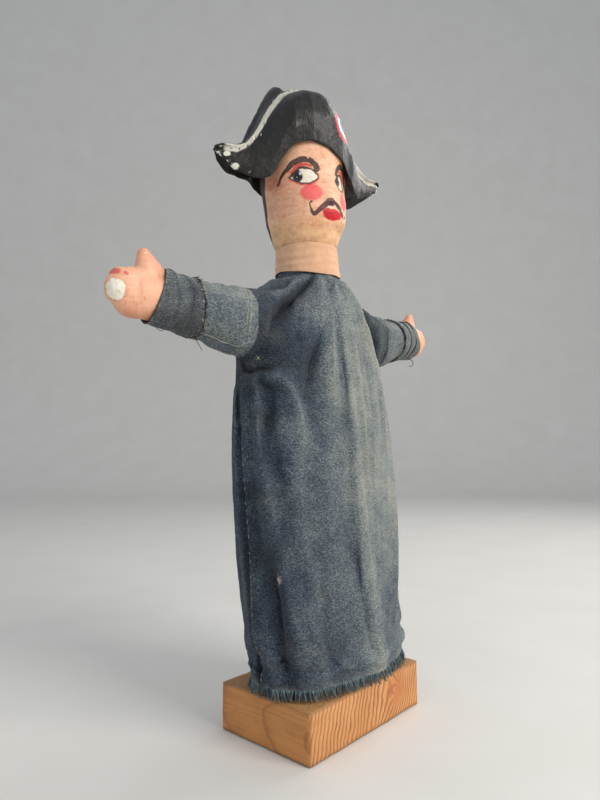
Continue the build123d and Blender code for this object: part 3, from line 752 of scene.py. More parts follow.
def seam_groove(P, h_w=1.25, depth=2.2):
    x, y, z = P.T
    below = 1 - sstep(250, 258, z)
    w = np.where(np.abs(x) > 40, 1, 0)
    yy = 4 + 2.2 * np.sin(z * .03) + np.interp(z, (0, 30, 60), (-1, 1, 0))
    wid = h_w + 1.1 * (1 - sstep(10, 55, z))
    return -(depth + 2.6 * (1 - sstep(5, 60, z))) * np.exp(-((y - yy) / wid) ** 2) * below * w


def simulate(o, cap=.005, frames=22):
    """the cloth is a little longer than its form, so it buckles and hangs; pinned at neck, armholes and sleeves"""
    rest = co_of(o); l = L(rest)
    u = np.abs(l[:, 0])
    pin = np.maximum.reduce([sstep(296, 316, l[:, 2]), sstep(70, 84, u) * sstep(244, 262, l[:, 2]), 1 - sstep(4, 10, rest[:, 2] * 1000 - HEM)])
    pin = np.clip(pin + .04, 0, 1)
    vg = o.vertex_groups.new(name="pin")
    for i, w in enumerate(pin):
        vg.add([i], float(w), "REPLACE")
    md = o.modifiers.new("cloth", "CLOTH"); s = md.settings
    s.vertex_group_mass = "pin"; s.pin_stiffness = 1.; s.quality = 5; s.mass = .25
    s.tension_stiffness = 20; s.compression_stiffness = 8; s.shear_stiffness = 6; s.bending_stiffness = .25
    s.air_damping = 2.; s.shrink_min = -.045
    md.collision_settings.use_self_collision = False; md.collision_settings.use_collision = False
    md.point_cache.frame_start = 1; md.point_cache.frame_end = frames
    sc = bpy.context.scene
    for f in range(1, frames + 1):
        sc.frame_set(f)
    dg = bpy.context.evaluated_depsgraph_get()
    ev = o.evaluated_get(dg).data
    co = np.zeros(len(ev.vertices) * 3); ev.vertices.foreach_get("co", co); co = co.reshape(-1, 3)
    o.modifiers.clear(); sc.frame_set(1)
    o.vertex_groups.clear()
    d = co - rest
    # keep the buckles, not the drift of the whole side: take a wide average of the movement away
    ed = np.zeros(len(o.data.edges) * 2, np.int64); o.data.edges.foreach_get("vertices", ed); ed = ed.reshape(-1, 2)
    deg = np.bincount(ed.ravel(), minlength=len(rest)).astype(float)[:, None] + 1e-9
    lo = d.copy()
    for _ in range(70):
        acc = np.stack([np.bincount(ed[:, 0], lo[ed[:, 1], k], len(rest)) + np.bincount(ed[:, 1], lo[ed[:, 0], k], len(rest)) for k in range(3)], -1)
        lo = .4 * lo + .6 * acc / deg
    d = d - .92 * lo
    ln = np.linalg.norm(d, axis=1)[:, None] + 1e-12
    d *= np.tanh(ln / cap) * cap / ln * (1 - pin[:, None] * .9)
    set_co(o, rest + d)
    print("cloth moved up to %.1f mm" % (np.linalg.norm(d, axis=1).max() * 1000))


from mathutils.bvhtree import BVHTree
glove = garment_shape()
form = glove.copy(); form.data = glove.data.copy(); bpy.context.scene.collection.objects.link(form)
simulate(glove)
glove.modifiers.new("d", "SUBSURF").levels = 1
apply_mods(glove)
form.modifiers.new("d", "SUBSURF").levels = 1
apply_mods(form)
PF = L(co_of(form)); NF = normals_of(form) @ PB.T
SNAP = BVHTree.FromPolygons([tuple(p) for p in PF], [tuple(f.vertices) for f in form.data.polygons])
bpy.data.objects.remove(form)
co = co_of(glove); P = L(co)
u0 = np.abs(P[:, 0])
sag = sstep(56, 84, u0) * (1 - sstep(86, 126, u0)) * sstep(2, -20, P[:, 2] - ARM_Z) * sstep(-62, -40, P[:, 2] - ARM_Z)
topside = sstep(0, 12, P[:, 2] - ARM_Z)
P[:, 2] -= 10.5 * sag + 2.8 * (topside * sstep(44, 64, u0) + (1 - topside) * sstep(86, 102, u0))
set_co(glove, W(P)); N = normals_of(glove) @ PB.T
hgt = np.clip(big_folds(PF, NF), -10.5, 6.5)
hem_soft = sstep(-2, 14, co[:, 2] * 1000 - HEM) * .35 + .65
P = P + N * (hgt * hem_soft)[:, None]
P = P + N * seam_groove(PF)[:, None]
# stay over the armature and its sleeves' ends
u = np.abs(P[:, 0])
cz = ARM_Z - 2.6
r = np.hypot(P[:, 1], P[:, 2] - cz)
m = u > 120
lim = np.clip(r, 18.6, 20.2)
P[m, 1] *= lim[m] / r[m]; P[m, 2] = cz + (P[m, 2] - cz) * (lim[m] / r[m])
neck = P[:, 2] > 321
rr = np.hypot(P[:, 0], P[:, 1])
lim = np.clip(rr, 25.3, 26.2)
f = np.where(neck, sstep(321, 327, P[:, 2]) * (lim / np.maximum(rr, 1e-6) - 1) + 1, 1.)
P[:, 0] *= f; P[:, 1] *= f
co = W(P); co[:, 2] = np.maximum(co[:, 2], (HEM - 1.) * .001)
set_co(glove, co)
at = glove.data.attributes.new("p0", "FLOAT_VECTOR", "POINT"); at.data.foreach_set("vector", np.ascontiguousarray(PF, np.float32).ravel())
at = glove.data.attributes.new("hgt", "FLOAT", "POINT"); at.data.foreach_set("value", np.ascontiguousarray(hgt, np.float32))


def paint_cloth(o):
    me = o.data; P = np.zeros(len(me.vertices) * 3, np.float32); me.attributes["p0"].data.foreach_get("vector", P); P = P.reshape(-1, 3).astype(float)
    hh = np.zeros(len(P), np.float32); me.attributes["hgt"].data.foreach_get("value", hh)
    x, y, z = P.T; u = np.abs(x)
    # painted light and shade: lighter towards the front's far half, where light falls, and on the fold ridges; deeper
    # on the near side, in the valleys and up by the armholes, where shade falls
    lit = sstep(-70, 10, x) * sstep(20, -30, y)
    f = .18 + .54 * lit * (1 - .38 * sstep(180, 40, z))
    f += .16 * sstep(262, 200, z) * np.exp(-((x + 6) / 34.) ** 2) * (y < 0)
    f -= .18 * np.exp(-(((x + 66) / 24.) ** 2 + ((z - 276) / 26.) ** 2)) * (y < 10)
    f += .04 * np.exp(-(((x + 66) / 15.) ** 2 + ((z - 62) / 60.) ** 2)) * (y < 10)
    f += .12 * np.exp(-((x + 83) / 6.) ** 2 - ((z - 60) / 60.) ** 2)
    f -= .12 * np.exp(-(((x + 44) / 12.) ** 2 + ((z - 236) / 26.) ** 2)) * (y < 0)
    f -= .12 * np.exp(-(((x + 14) / 11.) ** 2 + ((z - 178) / 26.) ** 2)) * (y < 0)
    f += .16 * np.exp(-(((x + 56) / 7.) ** 2 + ((z - 205) / 40.) ** 2)) * (y < 0)
    f += .22 * sstep(16, 70, x) * sstep(60, 150, z) + .08 * sstep(20, 80, x)
    xv = np.interp(z, [252, 274, 292, 308, 326], [77, 66, 55, 42, 27]); xr = np.interp(z, [248, 258, 275, 290, 300, 312], [74, 82, 88, 86, 79, 62])
    # painted shadow in the deep tuck at the far armhole
    tuck = sstep(xv - 1, xv + 4, x) * (1 - sstep(xr - 3, xr + 3, x)) * sstep(8, -2, y) * sstep(246, 254, z) * (1 - sstep(306, 313, z))
    f = np.where(y > 6, .30 + .12 * fbm(P, 60., 3, 2), f)
    # the sleeves: flat tone, the near one paler, with painted light on their tops
    f = np.where((u > 84) & (z > 248), np.where(x < 0, .61, .52) + .16 * (z > ARM_Z + 8) , f)
    # painted shade in the fold valleys, painted light on the fold ridges
    f += .062 * np.clip(hh, -7, 5)
    # painted shade along the side seam groove and its open slit, and the tuck's painted shadow, go into the darkening
    # channel
    g = seam_groove(P)
    darkening = np.maximum(np.clip(-g / 3.2, 0, 1) * .95, .55 * tuck); f = f - .50 * tuck
    # painted shade along the armpit creases, the drag lines from the neck and the small creases at the neck
    for pts, w, a in (([(-92, 0, 262), (-82, -3, 254), (-76, -12, 252.5), (-70, -19, 250)], 1.5, .75), ([(28, -25, 326), (43, -27, 308), (57, -26, 292), (68, -24, 274), (76, -16, 256)], 5.2, .85), ([(66, -24, 276), (80, -22, 268), (88, -16, 264)], 5., .5),
                      ([(-21, -26, 326), (-36, -25, 314), (-50, -24, 300), (-61, -20, 286)], 2.2, .72), ([(-17, -24, 329), (-22, -27, 322), (-29, -27, 316)], 1.3, .75), ([(4, -28, 329), (-2, -31, 321), (-8, -33, 312)], 1.2, .6)):
        d, t = seg_field(P, on_form(pts), None)
        darkening = np.maximum(darkening, a * np.exp(-(d / w) ** 2))
    # armhole and sleeve seams: a dark sunk line beside a worn ridge
    an = np.arctan2(z - ARM_Z, -y); seam_u = 85.6 - 3.0 * np.sin(an) + 6.5 * np.maximum(0, np.cos(an))
    ring = np.where(z > 240, 1, 0)
    darkening = np.maximum(darkening, .45 * ring * np.exp(-((u - seam_u) / .8) ** 2))
    pale = .40 * ring * np.exp(-((u - seam_u + 1.6) / .9) ** 2) * (vnoise(P, 1.6, 5) > -.1)
    # a darned hole low on the front
    dh = np.linalg.norm(P - np.array([-76, -21, 90]), axis=1)
    pale = np.maximum(pale, .85 * np.exp(-(dh / 1.5) ** 2))
    darkening = np.maximum(darkening, .5 * np.exp(-((dh - 3.4) / 1.1) ** 2) * (vnoise(P, 2., 9) > 0))
    hz = co_of(o)[:, 2] * 1000 - HEM
    pale = np.maximum(pale, .26 * np.exp(-(hz / 3.) ** 2) * np.clip(.5 + vnoise(P * [1, 1, .1], 1.3, 6), 0, 1))
    me.attributes.remove(me.attributes["p0"]); me.attributes.remove(me.attributes["hgt"])
    set_color(o, "fade_and_shade", np.stack([np.clip(f, 0, 1), np.clip(darkening, 0, 1), np.clip(pale, 0, 1)], 1))


def keep_part(src, name, test):
    """a copy of src with the faces whose centre passes the test; its shading normals are kept along the cut"""
    me = src.data.copy(); o = bpy.data.objects.new(name, me); bpy.context.scene.collection.objects.link(o)
    bm = bmesh.new(); bm.from_mesh(me)
    lay = bm.verts.layers.float_vector.new("keep_n")
    bm.normal_update()
    for v in bm.verts:
        v[lay] = v.normal
    cen = L(np.array([f.calc_center_median() for f in bm.faces]))
    ok = test(cen)
    bmesh.ops.delete(bm, geom=[f for f, k in zip(bm.faces, ok) if not k], context="FACES")
    bm.to_mesh(me); bm.free()
    at = me.attributes["keep_n"]; n = np.zeros(len(me.vertices) * 3); at.data.foreach_get("vector", n)
    n = n.reshape(-1, 3)
    me.attributes.remove(at)
    me.polygons.foreach_set("use_smooth", [True] * len(me.polygons))
    me.normals_split_custom_set_from_vertices([tuple(v) for v in n])
    return o


def slice_at(o, co_, no):
    bm = bmesh.new(); bm.from_mesh(o.data)
    bmesh.ops.bisect_plane(bm, geom=list(bm.verts) + list(bm.edges) + list(bm.faces), plane_co=tuple(co_), plane_no=tuple(no), clear_outer=False, clear_inner=False)
    bm.to_mesh(o.data); bm.free()


for s in (-1, 1):
    for uu in (84., 106.):
        slice_at(glove, W((s * uu, 0, 0)), XV)
for zz in (322., 330.):
    slice_at(glove, W((0, 0, zz)), ZV)
paint_cloth(glove)
glove.data.materials.clear(); glove.data.materials.append(M_CLOTH)
pieces = {}
pieces["glove_body"] = keep_part(glove, "glove_body", lambda c: ((np.abs(c[:, 0]) < 84) | (c[:, 2] < 244)) & (c[:, 2] < 322))
pieces["glove_neck_low"] = keep_part(glove, "glove_neck_low", lambda c: (np.abs(c[:, 0]) < 84) & (c[:, 2] >= 322) & (c[:, 2] < 330))
pieces["glove_neck_top"] = keep_part(glove, "glove_neck_top", lambda c: (np.abs(c[:, 0]) < 84) & (c[:, 2] >= 330))
for side, s in (("right", -1), ("left", 1)):
    pieces[side + "_sleeve_in"] = keep_part(glove, side + "_sleeve_in", lambda c, s=s: (c[:, 0] * s >= 84) & (c[:, 0] * s < 106) & (c[:, 2] >= 244))
    pieces[side + "_sleeve_out"] = keep_part(glove, side + "_sleeve_out", lambda c, s=s: (c[:, 0] * s >= 106))
bpy.data.objects.remove(glove)
for nm, o in pieces.items():
    if "sleeve" in nm:
        o.data.materials.clear(); o.data.materials.append(M_CLOTH)
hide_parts("front_panel", "back_panel")
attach(pieces["glove_body"], "glove")
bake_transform(pieces["glove_neck_low"], "glove", "head_swivel", start=tuple(W((0, 0, 322.5))), end=tuple(W((0, 0, 329.5))))
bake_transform(pieces["glove_neck_top"], "head_swivel", "head_body", start=tuple(W((0, 0, 329.9))), end=tuple(W((0, 0, 332.))))
for side, s in (("right", -1), ("left", 1)):
    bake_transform(pieces[side + "_sleeve_in"], "glove", side + "_shoulder", start=tuple(W((s * 84.5, 0, ARM_Z))), end=tuple(W((s * 105.5, 0, ARM_Z))))
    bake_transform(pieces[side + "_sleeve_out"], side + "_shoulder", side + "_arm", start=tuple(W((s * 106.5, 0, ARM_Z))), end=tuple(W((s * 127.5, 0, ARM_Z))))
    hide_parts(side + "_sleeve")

# ------------------------------------------------------------------ the head
HEAD = np.array([(329, 24.9, 24.9, 0), (345, 25, 25, 0), (352, 25.3, 25.3, 0), (358, 28.2, 28.4, -.2), (366, 30.8, 31.6, -.6), (378, 34.2, 36.2, -1.5), (395, 36, 38, -2),
                 (412, 38, 39.5, -2), (430, 38, 39.5, -1), (446, 34, 36, 0), (456, 26, 28, 0), (463, 13, 14, 0), (465, 2, 2, 0)], float)


def head_xyz(th, z, extra=0.):
    """th from -Y, positive to the puppet's left"""
    a, b, c = [np.interp(z, HEAD[:, 0], HEAD[:, k]) for k in (1, 2, 3)]
    return np.stack([(a + extra) * np.sin(th), c - (b + extra) * np.cos(th), z], -1)


def soft(line, P2, w):
    """how near (0..1) a flat point is to a painted line, in mm on the skin"""
    pts = smooth_line(np.column_stack([np.asarray(line, float), np.zeros(len(line))]), 60)
    d, t = seg_field(np.column_stack([P2, np.zeros(len(P2))]), pts, None)
    return d, t


def face_uv(th, z):
    return np.stack([th * 38., z], -1)


def FP(deg, z):
    return (math.radians(deg) * 38., z)


def inside(poly, P2):
    p = smooth_line(np.column_stack([np.vstack([poly, poly[:1]]), np.zeros(len(poly) + 1)]), 90)[:, :2]
    x, y = P2.T; c = np.zeros(len(P2), bool)
    for (x0, y0), (x1, y1) in zip(p, np.roll(p, -1, axis=0)):
        if abs(y1 - y0) < 1e-9:
            continue
        m = ((y0 > y) != (y1 > y)) & (x < (x1 - x0) * (y - y0) / (y1 - y0) + x0)
        c ^= m
    d, _ = seg_field(np.column_stack([P2, np.zeros(len(P2))]), np.column_stack([p, np.zeros(len(p))]), None)
    return np.where(c, -d, d)


def head_relief(th, z):
    q = face_uv(th, z); h = np.zeros(len(z))
    def bump(deg, zz, wx, wz, a):
        return a * np.exp(-((q[:, 0] - math.radians(deg) * 38) / wx) ** 2 - ((z - zz) / wz) ** 2)
    h += bump(0, 394, 5.0, 13, 1.5) + bump(0, 387, 4.4, 4.0, 1.0)
    h += bump(-32, 404, 10, 8, -1.6) + bump(36, 406, 15, 11, -5.2)
    h += bump(-32, 404, 7, 4.6, 1.2) + bump(30, 404, 7, 4.6, 1.4)
    h += bump(-30, 416, 14, 3.4, .8) + bump(24, 418, 14, 3.4, -.6)
    h += bump(-32, 388, 9, 7, .9) + bump(34, 387, 9, 7, .9)
    h += bump(2, 374.6, 9, 3.0, 1.1) + bump(2, 379.5, 7, 1.2, -.5) + bump(2, 370.4, 8, 1.2, -.7)
    h += bump(3, 363, 9, 5, .6) + bump(26, 367, 22, 9, 3.4)
    # ears are only hinted at under the hat
    h += bump(-96, 398, 3.2, 8, 1.0) + bump(96, 398, 3.2, 8, 1.0)
    return h


def build_head():
    nth, zs = 460, np.concatenate([np.linspace(329, 362, 50), np.linspace(362.4, 420, 200), np.linspace(420.6, 465, 60)])
    tt = -math.pi + 2 * math.pi * np.arange(nth) / nth
    T, Z = np.meshgrid(tt, zs)
    th, z = T.ravel(), Z.ravel()
    P = head_xyz(th, z)
    # carve the face relief and a little noise into the turned sections
    ex = head_relief(th, z) + .30 * fbm(P, 15., 3, 3) + .10 * fbm(P, 3.2, 4, 2)
    nd = np.stack([np.sin(th), -np.cos(th), 0 * th], -1)
    P = P + nd * (ex * sstep(362, 372, z) - .35)[:, None]
    G = P.reshape(len(zs), nth, 3)
    for _ in range(30):
        G[1:-1] = G[1:-1] * .5 + (G[:-2] + G[2:]) * .25 if False else G[1:-1]
    V = np.vstack([P, [0, 0, 466.]]); F = grid_faces(len(zs), nth)
    top = (len(zs) - 1) * nth
    for k in range(nth):
        F.append((top + k, top + (k + 1) % nth, len(V) - 1))
    o = obj_from("head_paint", V, F, HB)
    th = np.append(th, 0); z = np.append(z, 466.)
    q = face_uv(th, z); P3 = V
    wob = np.stack([fbm(P3, 4.5, 21, 3), fbm(P3, 4.5, 22, 3)], -1)
    qw = q + wob * .95 + np.stack([fbm(P3, 1.5, 23, 2), fbm(P3, 1.5, 24, 2)], -1) * .3
    br = .5 + .5 * fbm(P3 * [1, 1, 1.], 2.0, 25, 3)
    n1, n2, n3 = fbm(P3, 16., 11, 4), fbm(P3, 6., 12, 3), fbm(P3 * [.5, .5, 2.2], 3.0, 13, 3)
    S = lambda *c: np.array(srgb(*c))
    col = S(236, 180, 146)[None] * np.ones((len(z), 1))

    def lay(a, c):
        nonlocal col
        a = np.clip(a, 0, 1)[:, None]
        col = col * (1 - a) + c * a
    lay(.4 * sstep(-.1, .5, n1), S(222, 152, 116)); lay(.4 * sstep(.0, .6, -n1), S(236, 188, 152))
    lay(.75 * sstep(376, 364, z), S(220, 176, 126)); lay(.35 * sstep(374, 362, z) * sstep(0., .5, n2), S(176, 138, 96))
    # orange-red temple below the hat, greyer jaw behind the cheek
    lay(.8 * np.exp(-((q[:, 0] - math.radians(-84) * 38) / 19.) ** 2 - ((z - 404) / 11.) ** 2) * (.7 + .3 * n2), S(198, 84, 58))
    lay(.6 * np.exp(-((q[:, 0] - math.radians(84) * 38) / 19.) ** 2 - ((z - 404) / 11.) ** 2) * (.7 + .3 * n2), S(198, 84, 58))
    lay(.35 * np.exp(-((q[:, 0] - math.radians(-70) * 38) / 18.) ** 2 - ((z - 384) / 8.) ** 2), S(186, 126, 100))
    lay(.5 * sstep(.05, .5, fbm(P3, 9., 15, 3)), S(246, 196, 160)); lay(.4 * sstep(.15, .55, fbm(P3, 5., 16, 3)), S(196, 128, 96))
    lay(.42 * np.exp(-((q[:, 0] - math.radians(-20) * 38) / 15.) ** 2 - ((z - 367) / 5.) ** 2) * (.6 + .5 * n2), S(226, 120, 96))
    lay(.3 * np.exp(-((q[:, 0]) / 8.) ** 2 - ((z - 402) / 16.) ** 2), S(240, 192, 160))
    lay(.22 * sstep(.1, .6, n3), S(140, 96, 70)); lay(.20 * sstep(.1, .6, -n3), S(246, 210, 180))

    def blob(deg, zz, rx, rz, c, a=1., soft_=.22):
        r = np.hypot((qw[:, 0] - math.radians(deg) * 38) / rx, (qw[:, 1] - zz) / rz)
        lay(a * (1 - sstep(1 - soft_, 1 + soft_, r)) * (.84 + .16 * br), c)

    def stroke(pts, w0, w1, c, a=1., tip=.6):
        line = [FP(d, zz) for d, zz in pts]
        d, t = soft(line, qw, 1)
        w = w0 + (w1 - w0) * t
        e = np.clip(np.sin(np.pi * np.clip(t, 0, 1)) ** .5, tip, 1)
        lay(a * (1 - sstep(w * e - .35, w * e + .25, d)) * (.86 + .14 * br), c)

    pink = S(233, 84, 92)
    blob(-27, 390.2, 9.8, 6.8, pink, .94, .14); blob(31, 388, 7.4, 7.2, pink, .9, .16)
    for sgn, off in ((1, 0), (-1, 0)):
        def M(deg):
            return deg if sgn > 0 else (-deg * .92 - 4)
        # white of the eye, iris looking to the puppet's right
        poly = np.array([FP(M(d), zz) for d, zz in [(-54, 403.0), (-49, 406.6), (-41, 409.2), (-31, 409.6), (-23, 407.6), (-17, 402.8), (-21, 399.6), (-29, 397.6), (-39, 398.2), (-47, 400.4)]])
        d = inside(poly, qw)
        lay(.9 * (1 - sstep(.9, 2.2, d)) * sstep(408, 401, z), S(206, 56, 56))
        lay((1 - sstep(-.15, .4, d)), S(238, 226, 206))
        lay((1 - sstep(.0, .55, np.abs(d) - .35)) * .9, S(52, 30, 30))
        ic = -43.5 if sgn > 0 else 17.
        r = np.hypot(qw[:, 0] - math.radians(ic) * 38, (qw[:, 1] - 404.0) / 1.05)
        lay((1 - sstep(4.3, 4.9, r)) * (d < .3), S(40, 38, 44)); lay((1 - sstep(2.3, 2.9, r)) * (d < .3), S(14, 14, 18))
        # a grey spot on each iris: a painted highlight
        r = np.hypot(qw[:, 0] - math.radians(ic + 4.5) * 38, qw[:, 1] - 406.2)
        lay((1 - sstep(1.1, 1.7, r)) * (d < .3), S(206, 206, 206))
        stroke([(M(-55), 403.6), (M(-49), 407.4), (M(-41), 410.0), (M(-31), 410.4), (M(-23), 408.4)], 1.0, .7, S(40, 24, 26))
        stroke([(M(-52), 407.8), (M(-44), 411.8), (M(-34), 412.8), (M(-26), 411.6)], 1.8, 1.4, S(206, 44, 46), .95)
        stroke([(M(-72), 400.5), (M(-66), 405.2), (M(-56), 411.2), (M(-46), 415.4), (M(-36), 417.0), (M(-28), 416.2), (M(-21), 412.8), (M(-19), 409.2)], 1.6, 3.3, S(42, 28, 28), 1., .78)
    # moustache with curled ends, and the mouth
    mc = S(58, 26, 40)
    stroke([(4, 382.0), (-3, 382.2), (-10, 379.4), (-16, 375.8), (-22, 373.6), (-27, 376.0), (-29.5, 380.2), (-27, 382.8)], 2.9, 1.0, mc, 1., .62)
    stroke([(0, 382.6), (9, 383.6), (17, 381.4), (24, 377.6), (32, 374.6), (38, 377.0), (39, 381.6)], 2.9, .9, mc, 1., .62)
    stroke([(-9, 381.6), (-3, 384.4), (3, 385.2), (9, 384.4), (14, 382.0)], 1.5, 1.5, mc, .9)
    poly = np.array([FP(d, zz) for d, zz in [(-11, 375.8), (-5, 378.2), (2, 377.4), (8, 378.8), (17, 377.6), (25, 375.0), (18, 371.4), (7, 369.8), (-3, 370.6), (-9, 372.8)]])
    d = inside(poly, qw); lay(1 - sstep(-.2, .5, d), S(205, 22, 36))
    stroke([(-8, 375.2), (2, 374.6), (10, 375.4), (18, 375.0)], .5, .5, S(120, 12, 26), .85)
    # a pale stroke above the upper lip: a painted highlight
    stroke([(-2, 379.4), (4, 379.8), (10, 379.6)], 1.3, .8, S(240, 206, 190), .9)
    # hair: dark red-brown at the sides and the back, under the hat
    ad = np.abs(np.degrees(th))
    edge = np.interp(z, (355, 365, 385, 400, 415), (126, 112, 104, 99, 93))
    hair = sstep(edge - 2.5, edge + 2.5, ad + 2.4 * n2) * sstep(352, 359, z + 2 * n2)
    lay(hair, S(50, 26, 26)); lay(hair * .5 * sstep(.0, .6, n3), S(84, 44, 38))
    # chips down to the pale ground, and rubbed brush marks
    chip = sstep(.60, .66, fbm(P3, 3.6, 55, 3)) * .7
    lay(chip * (z > 362), S(228, 210, 184))
    lay(.30 * sstep(.35, .7, fbm(P3 * [1, 1, 2.5], 1.6, 57, 2)), S(120, 76, 58))
    set_color(o, "paint", col)
    gl = .35 + .1 * n2 - .1 * hair
    set_color(o, "gloss", gl)
    m = Mat("face_paint"); v = m.coord(1000.)
    fine = m.noise(v, 1.4, 4., .7); mid = m.noise(v, .5, 3., .6, .8)
    c = m.mix(m.math("MULTIPLY", m.maprange(fine, .5, .74), .22), m.attr("paint"), srgb(118, 78, 58))
    c = m.mix(m.math("MULTIPLY", m.maprange(fine, .46, .28), .16), c, srgb(250, 226, 200))
    b = m.bump(fine, .00022, .7); b = m.bump(mid, .0006, .5, b)
    m.out(c, m.maprange(mid, .3, .7, .42, .62, False), b)
    m.b.inputs["Specular IOR Level"].default_value = .35; m.b.inputs["Subsurface Weight"].default_value = .03
    m.b.inputs["Subsurface Radius"].default_value = (.004, .002, .001)
    o.data.materials.append(m.m)
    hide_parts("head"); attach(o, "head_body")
    return o


head = build_head()


# a strip of thin flesh cotton tape wound around the neck, lapped at the back
def build_band():
    nt, nz = 260, 40
    V = []
    cl = L((-.39654, -.32786, .21861), HB); ac = math.atan2(cl[1], cl[0]); ar = ac + math.pi / 2
    for j in range(nz):
        s = j / (nz - 1)
        for i in range(nt):
            a = 2 * math.pi * 1.06 * i / (nt - 1) + math.radians(62)
            lift = .55 * (i / (nt - 1))
            z0 = 332.0 - 6.4 * max(0., min(1., .62 * math.cos(a - ac) + .60 * math.cos(a - ar) + .12)) + .3 * vnoise(np.array([[a * 12, 0, 0]]), 4., 2)[0]
            z1 = 352.4 + .5 * math.sin(a * 2)
            z = z0 + (z1 - z0) * s
            r = 26.8 + 1.2 * (1 - s) ** 1.5 + lift * .8 + .28 * math.sin(z * .9 + 1.8 * math.sin(a * 2)) * math.exp(-((s - .45) / .4) ** 2) + .22 * float(vnoise(np.array([[a * 25, 0, z]]), 7., 3)[0])
            V.append((r * math.cos(a), r * math.sin(a), z))
    V = np.array(V); F = grid_faces(nz, nt, False)
    o = obj_from("neck_band_cloth", V, F, HB)
    md = o.modifiers.new("s", "SOLIDIFY"); md.thickness = .0005; md.offset = -1
    apply_mods(o)
    m = Mat("flesh_tape"); v = m.coord(1000.); sx = m.n("ShaderNodeSeparateXYZ"); m.link(v, sx.inputs[0])
    f = m.noise(v, .12, 4., .6); g = m.noise(m.coord((500., 500., 2600.)), .9, 3., .7)
    col = m.mix(m.maprange(f, .3, .7), srgb(218, 166, 128), srgb(232, 184, 148))
    col = m.mix(m.math("MULTIPLY", m.maprange(g, .5, .75), .35), col, srgb(172, 120, 88))
    w = m.math("ADD", m.math("SINE", m.math("MULTIPLY", sx.outputs[2], 13.)), m.math("SINE", m.math("MULTIPLY", m.math("ADD", sx.outputs[0], m.math("MULTIPLY", sx.outputs[1], -1.)), 11.)))
    m.out(col, .82, m.bump(m.math("ADD", m.math("MULTIPLY", w, .4), g), .00022, .6))
    m.b.inputs["Sheen Weight"].default_value = .15
    o.data.materials.append(m.m)
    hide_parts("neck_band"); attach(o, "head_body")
    return o


band = build_band()

# ------------------------------------------------------------------ the hat
def tab(x, pts):
    p = np.array(pts, float)
    xs = np.linspace(-90, 90, 721); y = np.interp(xs, p[:, 0], p[:, 1])
    k = np.exp(-(np.arange(-24, 25) / 9.) ** 2); k /= k.sum()
    y = np.convolve(np.pad(y, 24, mode="edge"), k, "valid")
    return np.interp(x, xs, y)


